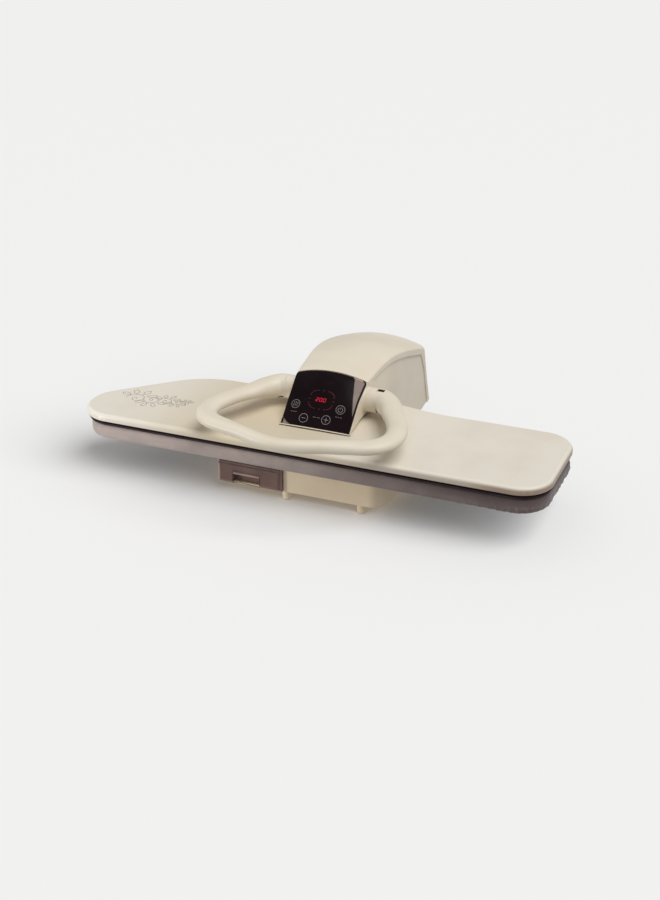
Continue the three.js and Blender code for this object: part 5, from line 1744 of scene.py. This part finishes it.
    def scroll(self) -> None:
        """Makes a running scroll of thin lines near the nose: a row of spirals with pointed leaves and dots.

        A spiral's radius falls evenly with its angle, and would be nothing at the spiral's end. A leaf is two
        bows, each a sine, between two ends.
        """
        start = np.array(self.scroll_start)
        paths = []
        x = 0.0
        dot = np.linspace(0, 2 * pi, 10)
        bow = np.linspace(0, 1, 16)
        for size, sense in self.spirals:
            turn = np.linspace(0, self.spiral_turn, 60)
            radius = size * (1 - turn / self.spiral_end)
            centre = np.array([x + size, 0.0])
            angle = pi - sense * turn
            paths.append(centre + np.stack([radius * np.cos(angle), radius * np.sin(angle)], axis=1))
            paths.append(centre + np.stack([self.dot * np.cos(dot), self.dot * np.sin(dot)], axis=1))
            for lean in self.leaf_leans:
                bent = lean * self.leaf_bend
                root = centre + size * np.array([sin(lean), sense * cos(lean)])
                tip = root + size * np.array([sin(bent), sense * cos(bent)])
                across = np.array([tip[1] - root[1], root[0] - tip[0]]) * self.leaf_bow
                paths += [root + (tip - root) * bow[:, None] + across * side * np.sin(pi * bow)[:, None]
                          for side in (-1, 1)]
            x += size * self.scroll_step
        tilt = radians(self.scroll_tilt)
        spin = np.array([[cos(tilt), sin(tilt)], [-sin(tilt), cos(tilt)]])
        piece = Piece("plate_scroll")
        for path in paths:
            both = stroke(path @ spin + start, self.scroll_line)
            z = np.full(both.shape[:2], self.top + self.scroll_lift)
            piece.grid(np.concatenate([both, z[..., None]], axis=2))
        thing = piece.build(MOTIF_INK, Body.PLATE, "cream_plastic", 80)
        finished(thing, solidify={"thickness": INK_DEPTH, "offset": 0})


@dataclass
class BoardCover:
    """The padded board's fitted cotton cover: flat where the plate presses it, gathered at both ends.

    Each row of gathers has a spacing, a lean, a seed and a depth. The cloth is gathered by one share all
    round, a second one more at the right end and a third more at the nose.
    """

    outline: PlateOutline = field(default_factory=PlateOutline)
    bottom: float = 0.081
    thickness: float = 0.0307
    radius: float = 0.006
    top_drop: float = 0.014
    top_insets: tuple[float, ...] = (0.030, 0.015)
    under_insets: tuple[float, ...] = (0.012, 0.020, 0.028)
    hem: float = 0.034
    hem_roll: float = 0.0022
    gathers: tuple[tuple[float, float, int, float], ...] = (
        (0.026, 0.020, 3, 0.0020), (0.015, -0.012, 4, 0.0017), (0.009, 0.006, 5, 0.0012))
    crest_power: float = 2.2
    gathered: Place = (0.10, 0.90, 0.40)
    right_span: Limits = (0.18, 0.34)
    nose_span: Limits = (0.34, 0.49)
    sag: float = 0.0012
    tuck: float = 0.0010
    tuck_down: float = 0.62
    tuck_width: float = 0.07
    tuck_span: Limits = (0.40, 0.47)
    hem_gather: float = 0.0016
    hem_drop: float = 0.0012
    crest_limits: Limits = (0.0012, 0.0030)
    around: int = 1500

    def amount(self, ring: Array) -> Array:
        """How strongly the cloth is gathered round the board: most at the right end, some at the nose.

        Args:
            ring: The board's outline.

        Returns:
            A share for each point.
        """
        everywhere, right, nose = self.gathered
        return (everywhere + right * smoothstep(ring[:, 0], *self.right_span)
                + nose * smoothstep(-ring[:, 0], *self.nose_span))

    def folds(self, ring: Array, down: Array) -> Array:
        """Height of the gathers on the side of the board.

        Each gather is a narrow crest, one less the size of a sine, to a power. Its row leans with the way
        down and wanders with noise. The crests die out towards the top, where the cloth is pulled flat. A
        level tuck runs round the right end.

        Args:
            ring: The board's outline.
            down: Share of the way down the side for each row.

        Returns:
            Heights in metres, one row for each share.
        """
        count = len(ring)
        step = np.linalg.norm(np.roll(ring, -1, axis=0) - ring, axis=1)
        length = np.cumsum(step)
        wander = 0.012 * ring_noise(count, 60, 11) + 0.02 * ring_noise(count, 17, 12)
        total = np.zeros((len(down), count))
        for spacing, lean, seed, depth in self.gathers:
            phase = (length + wander)[None] / spacing + down[:, None] * lean / spacing
            crest = (1 - np.abs(np.sin(pi * phase))) ** self.crest_power
            chosen = smoothstep(ring_noise(count, int(length[-1] / spacing / 3), seed), -0.25, 0.7)
            total += depth * crest * chosen[None]
        fade = smoothstep(down, 0.05, 0.85)[:, None]
        sag = self.sag * np.sin(pi * down)[:, None] * (0.6 + 0.4 * ring_noise(count, 26, 8))[None]
        tuck = self.tuck * np.exp(-((down - self.tuck_down) / self.tuck_width) ** 2)[:, None]
        tuck = tuck * smoothstep(ring[:, 0], *self.tuck_span)[None]
        return self.amount(ring)[None] * (total * fade + tuck) + sag

    def surface(self) -> tuple[Array, Array]:
        """Grid of the cover, carried round the board's outline, from the top's middle to the hem underneath.

        Returns:
            The grid with one row for each step of the profile, and the length down the cloth at each row.
        """
        ring = self.outline.board(self.around)
        normal = outward(ring)
        top = self.bottom + self.thickness
        r = self.radius
        quarter = np.linspace(0, pi / 2, 7)
        inset = [*self.top_insets, *(r * (1 - np.sin(quarter))), *np.zeros(9),
                 *(r * (1 - np.cos(quarter[1:]))), *self.under_insets, self.hem]
        height = [top, top, *(top - self.top_drop * (1 - np.cos(quarter))),
                  *np.linspace(top - self.top_drop, self.bottom + r, 11)[1:-1]]
        lower = np.linspace(0, pi / 2, 7)[1:]
        height += list(self.bottom + r - r * np.sin(lower)) + [self.bottom] * 4
        inset, height = np.array(inset), np.array(height)
        down = np.clip((top - height) / self.thickness, 0, 1)
        bulge = self.folds(ring, down)
        free = smoothstep(down, 0.04, 0.2) * (1 - smoothstep(inset, 0.006, 0.012) * 0.7)
        shift = -inset[:, None] + bulge * free[:, None]
        plan = ring[None] + normal[None] * shift[..., None]
        z = np.repeat(height[:, None], self.around, axis=1)
        gather = self.hem_gather * self.amount(ring)[None] * ring_noise(self.around, 150, 21)[None]
        z = z - gather * smoothstep(down, 0.8, 1)[:, None] * (inset > 0.003)[:, None]
        z = np.maximum(z, self.bottom - self.hem_drop)
        length = np.concatenate([[0], np.cumsum(np.hypot(np.diff(inset), np.diff(height)))])
        return np.concatenate([plan, z[..., None]], axis=2), length

    def build(self) -> None:
        """Makes the cover with its weave's UV map, and closes it with the top and a rolled hem."""
        grid, length = self.surface()
        inner = grid[-1] + (grid[-2] - grid[-1]) * 0.1
        inner[:, 2] = self.bottom + self.hem_roll
        deep = inner.copy()
        deep[:, 2] = self.bottom + 0.006
        closed = np.concatenate([grid, inner[None], deep[None]])
        thing = Piece("fitted_cover").grid(closed, wrap_columns=True, caps=True).build(
            CLOTH, Body.BASE, "grey_cloth", 60, ["board_cover", "board_pad"])
        self.weave_map(thing)

    def weave_map(self, thing: bpy.types.Object) -> None:
        """Gives the cover a UV map in metres of cloth: round the outline and down the side, flat on top.

        The attribute crest says how far the cloth stands out from the board's outline, from 0 to 1 between
        the crest limits.

        Args:
            thing: The cover.
        """
        mesh = thing.data
        place = np.empty(len(mesh.vertices) * 3)
        mesh.vertices.foreach_get("co", place)
        place = place.reshape(-1, 3) - [0, BENCH_Y, 0]
        ring = self.outline.board(self.around)
        step = np.linalg.norm(np.roll(ring, -1, axis=0) - ring, axis=1)
        length = np.concatenate([[0], np.cumsum(step)[:-1]])
        near = np.concatenate([((place[part, None, :2] - ring[None]) ** 2).sum(2).argmin(1)
                               for part in np.array_split(np.arange(len(place)), 60)])
        side = np.stack([length[near], place[:, 2]], axis=1)
        proud = ((place[:, :2] - ring[near]) * outward(ring)[near]).sum(1)
        crest = np.clip((proud - self.crest_limits[0]) / (self.crest_limits[1] - self.crest_limits[0]), 0, 1)
        mesh.attributes.new("crest", "FLOAT", "POINT").data.foreach_set("value", crest)
        loops = np.empty(len(mesh.loops), int)
        mesh.loops.foreach_get("vertex_index", loops)
        normal = np.empty(len(mesh.polygons) * 3)
        mesh.polygons.foreach_get("normal", normal)
        total = np.empty(len(mesh.polygons), int)
        mesh.polygons.foreach_get("loop_total", total)
        level = np.repeat(np.abs(normal.reshape(-1, 3)[:, 2]) > 0.8, total)
        uv = np.where(level[:, None], place[loops][:, :2], side[loops])
        layer = mesh.uv_layers.new(name="weave")
        layer.data.foreach_set("uv", uv.ravel())


@dataclass
class Feet:
    """Four short turned feet with rubber pads.

    The taper gives heights over the foot's end, and how much slimmer the foot is there.
    """

    radius: float = 0.0106
    pad_radius: float = 0.0078
    pad_height: float = 0.002
    pad_gap: float = 0.0003
    pad_edge: float = 0.0004
    floor_gap: float = 0.0007
    taper: tuple[tuple[float, float], ...] = ((0, 0.0018), (0.0004, 0.0013), (0.0014, 0.001))
    top: float = 0.0217

    def build(self) -> None:
        """Makes each foot and pad where its node stands."""
        for place in ("front_left", "front_right", "rear_left", "rear_right"):
            low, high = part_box(f"foot_{place}")
            x, y = (low.x + high.x) / 2, (low.y + high.y) / 2
            r, z, low = self.radius, self.pad_height + self.pad_gap, self.floor_gap
            hole = self.pad_radius + self.pad_gap
            taper = [(low + up, r - slim) for up, slim in self.taper]
            foot = [(z, 0.0), (z, hole), (low, hole), *taper, (z + 0.008, r - 0.0004),
                    (self.top - 0.002, r), (self.top, r), (self.top, 0.0)]
            Piece(f"turned_foot_{place}").grid(turned(foot, 2, (x, y, 0)), wrap_columns=True).build(
                WARM_CREAM, Body.BASE, "warm_cream_plastic", 40, [f"foot_{place}"], bench=False)
            q, edge, top = self.pad_radius, self.pad_edge, self.pad_height
            pad = [(0, 0.0), (0, q - 1.5 * edge), (1.25 * edge, q), (top - edge, q), (top, q - edge),
                   (top, 0.0)]
            Piece(f"rubber_pad_{place}").grid(turned(pad, 2, (x, y, 0)), wrap_columns=True).build(
                RUBBER, Body.BASE, "rubber", 40, [f"foot_pad_{place}"], bench=False)


@dataclass
class TankTrim:
    """What shows on the tank's front: its polished edge, a pin, moulded lines and the lip of the finger grip.

    The grip is given by its left, right and top, and its rim by its heights at the left, near it and right.
    The dark lines and the grip's dark rim are painted shade: they stand in for the shade in the moulded lines
    and round the grip.
    """

    left: float = -0.185
    right: float = -0.0413
    face: float = 0.024
    bottom: float = 0.0225
    top: float = 0.0775
    grip: Place = (-0.151, -0.092, 0.046)
    pin: tuple[float, float] = (-0.1822, 0.0655)
    pin_radius: float = 0.0014
    strip: float = 0.0042
    strip_proud: float = 0.0006
    line: float = 0.0014
    line_proud: float = 0.0003
    upper_lines: Limits = (0.0640, 0.0700)
    gap: float = 0.0003
    margin: float = 0.001
    root: float = 0.00005
    lip_half: tuple[float, float] = (0.0016, 0.0022)
    rim_half: tuple[float, float] = (0.0006, 0.0006)
    rim_heights: Place = (0.0245, 0.0272, 0.0238)
    steps: int = 24

    def bars(self, name: str, boxes: Sequence[tuple[float, float, float, float]], proud: float,
             finish: Finish) -> None:
        """Makes flat bars on the tank's face.

        Args:
            name: The piece's name.
            boxes: Left, right, low and high of each bar.
            proud: How far they stand out.
            finish: Their finish.
        """
        piece = Piece(name)
        for left, right, low, high in boxes:
            box = brick((left, self.face - proud, low), (right, self.face - self.root, high))
            piece.grid(box, wrap_columns=True, caps=True)
        thing = piece.build(finish, Body.TANK, "smoky_plastic")
        finished(thing, bevel={"width": proud * 0.4, "segments": 2, "limit_method": "ANGLE"})

    def strand(self, name: str, path: Array, half: tuple[float, float], sides: int, finish: Finish) -> None:
        """Makes a thin oval bar along the edge of the grip.

        Args:
            name: The piece's name.
            path: Its middle line.
            half: Its half width and half height.
            sides: Points round it.
            finish: Its finish.
        """
        oval = sweep(path, lambda share: tuple(np.full_like(share, h) for h in half), sides, UP)
        Piece(name).grid(oval, wrap_columns=True, caps=True).build(finish, Body.TANK, "smoky_plastic")

    def edges(self) -> None:
        """Makes the clear edge at the left and below, and the dark lines beside it and round the grip."""
        left, right, high = self.grip
        low, inner = self.bottom + 0.0002, self.right - self.margin
        first, second = self.upper_lines
        start, strip = self.left + self.strip + 2 * self.gap, self.left + self.strip
        self.bars("tank_edge", [
            (self.left + self.gap, strip, low, self.top - self.margin),
            (strip + self.gap, left - self.margin, low, low + 0.0018),
            (right + self.margin, inner, low, low + 0.0018)], self.strip_proud, CLEAR_EDGE)
        thin, thick, over = 0.0004, 0.0006, high + 0.0012
        uprights = ((self.right - 0.0050, thin, second - 0.001), (self.right - 0.0085, thin, first - 0.0008),
                    (left - self.margin, thick, over), (right + self.margin, thick, over))
        # Painted shade: dark bars that stand in for the shade in the moulded lines and round the grip.
        self.bars("tank_lines", [
            (start, inner, second, second + self.line),
            (start, self.right - 0.012, first, first + self.line),
            *((x - half, x + half, low + 0.003, top) for x, half, top in uprights),
            (left - thin, right + thin, high + 0.0044, high + 0.0054)], self.line_proud, RECESS_SHADE)

    def build(self) -> None:
        """Makes the edges, the lip and rim of the grip, and the pin."""
        self.edges()
        left, right, high = self.grip
        way = np.linspace(left + 0.0005, right - 0.0005, self.steps)
        ahead = np.full(self.steps, self.face)
        lip = np.stack([way, ahead + 0.0012, np.full(self.steps, high - 0.0006)], axis=1)
        self.strand("tank_grip_lip", lip, self.lip_half, 20, CLEAR_EDGE)
        arch = np.interp(way, [left, left + 0.015, right], self.rim_heights)
        rim = np.stack([way, ahead + 0.0006, arch], axis=1)
        # Painted shade: a dark strand standing in for the shade along the grip's rim.
        self.strand("tank_grip_rim", rim, self.rim_half, 12, RECESS_SHADE)
        x, z = self.pin
        r, slope, half = self.pin_radius, 0.0003, 0.0004
        face = self.face - self.strip_proud
        head = [(face, 0.0), (face, r - slope), (face - half, r), (face - 2 * half, r - slope),
                (face - 2 * half, 0.0)]
        Piece("tank_pin").grid(turned(head, 1, (x, 0, z), 24), wrap_columns=True).build(
            BLACK_PLASTIC, Body.TANK, "black_plastic")


@dataclass
class CadFinishes:
    """Finishes of the CAD nodes that show as they are."""

    finishes: dict[str, Finish] = field(default_factory=lambda: {
        "base_housing": WARM_CREAM, "base_floor": WARM_CREAM, "board_pan": TRAY, "cord_inlet": RUBBER,
        "hinge_tower_left": STEEL, "hinge_tower_right": STEEL, "hinge_shaft": STEEL, "spring_anchor": STEEL,
        "lift_spring_left": STEEL, "lift_spring_right": STEEL, "water_pump": BLACK_PLASTIC,
        "suction_hose": SILICONE, "tank_coupling": BLACK_PLASTIC, "power_board": CIRCUIT,
        "arm_plate_left": STEEL, "arm_plate_right": STEEL, "hinge_bush_left": BRASS,
        "hinge_bush_right": BRASS,
        "cross_rod_front": STEEL, "cross_rod_rear": STEEL, "head_base": CREAM, "panel_board": CIRCUIT,
        "led_display": LED_DIM, "yoke_guide": CAST, "plate_frame": BLACK_PLASTIC, "sole_plate": SOLE,
        "heating_element": STEEL, "steam_chamber": CAST, "plate_yoke": STEEL, "handle_shaft": STEEL,
        "eccentric_left": STEEL, "eccentric_right": STEEL, "tank_body": SMOKE, "tank_lid": SMOKE,
        "tank_valve": BLACK_PLASTIC, "filter_cartridge": SILICONE,
    })

    def build(self) -> None:
        """Assigns each finish to its node's material slots."""
        for name, finish in self.finishes.items():
            mesh = frame["nodes"][name].data
            mesh.materials.clear()
            mesh.materials.append(PAINT.get(finish))
            LOG.info("%s keeps its own shape, in %s", name, finish.name)


def main() -> None:
    """Builds the studio and each sub-assembly in order, and reports each piece with its count of faces."""
    logging.basicConfig(level=logging.INFO, format="%(name)s: %(message)s")
    studio = Studio()
    studio.camera()
    studio.lights(studio.floor())
    for assembly in (CadFinishes(), Hood(), Panel(), Handle(), Plate(), BoardCover(), Feet(), TankTrim()):
        known = set(bpy.data.objects.keys())
        assembly.build()
        for thing in bpy.data.objects:
            if thing.name not in known:
                LOG.info("%s: %s, %d faces", type(assembly).__name__, thing.name, len(thing.data.polygons))


if __name__ == "__main__":
    main()
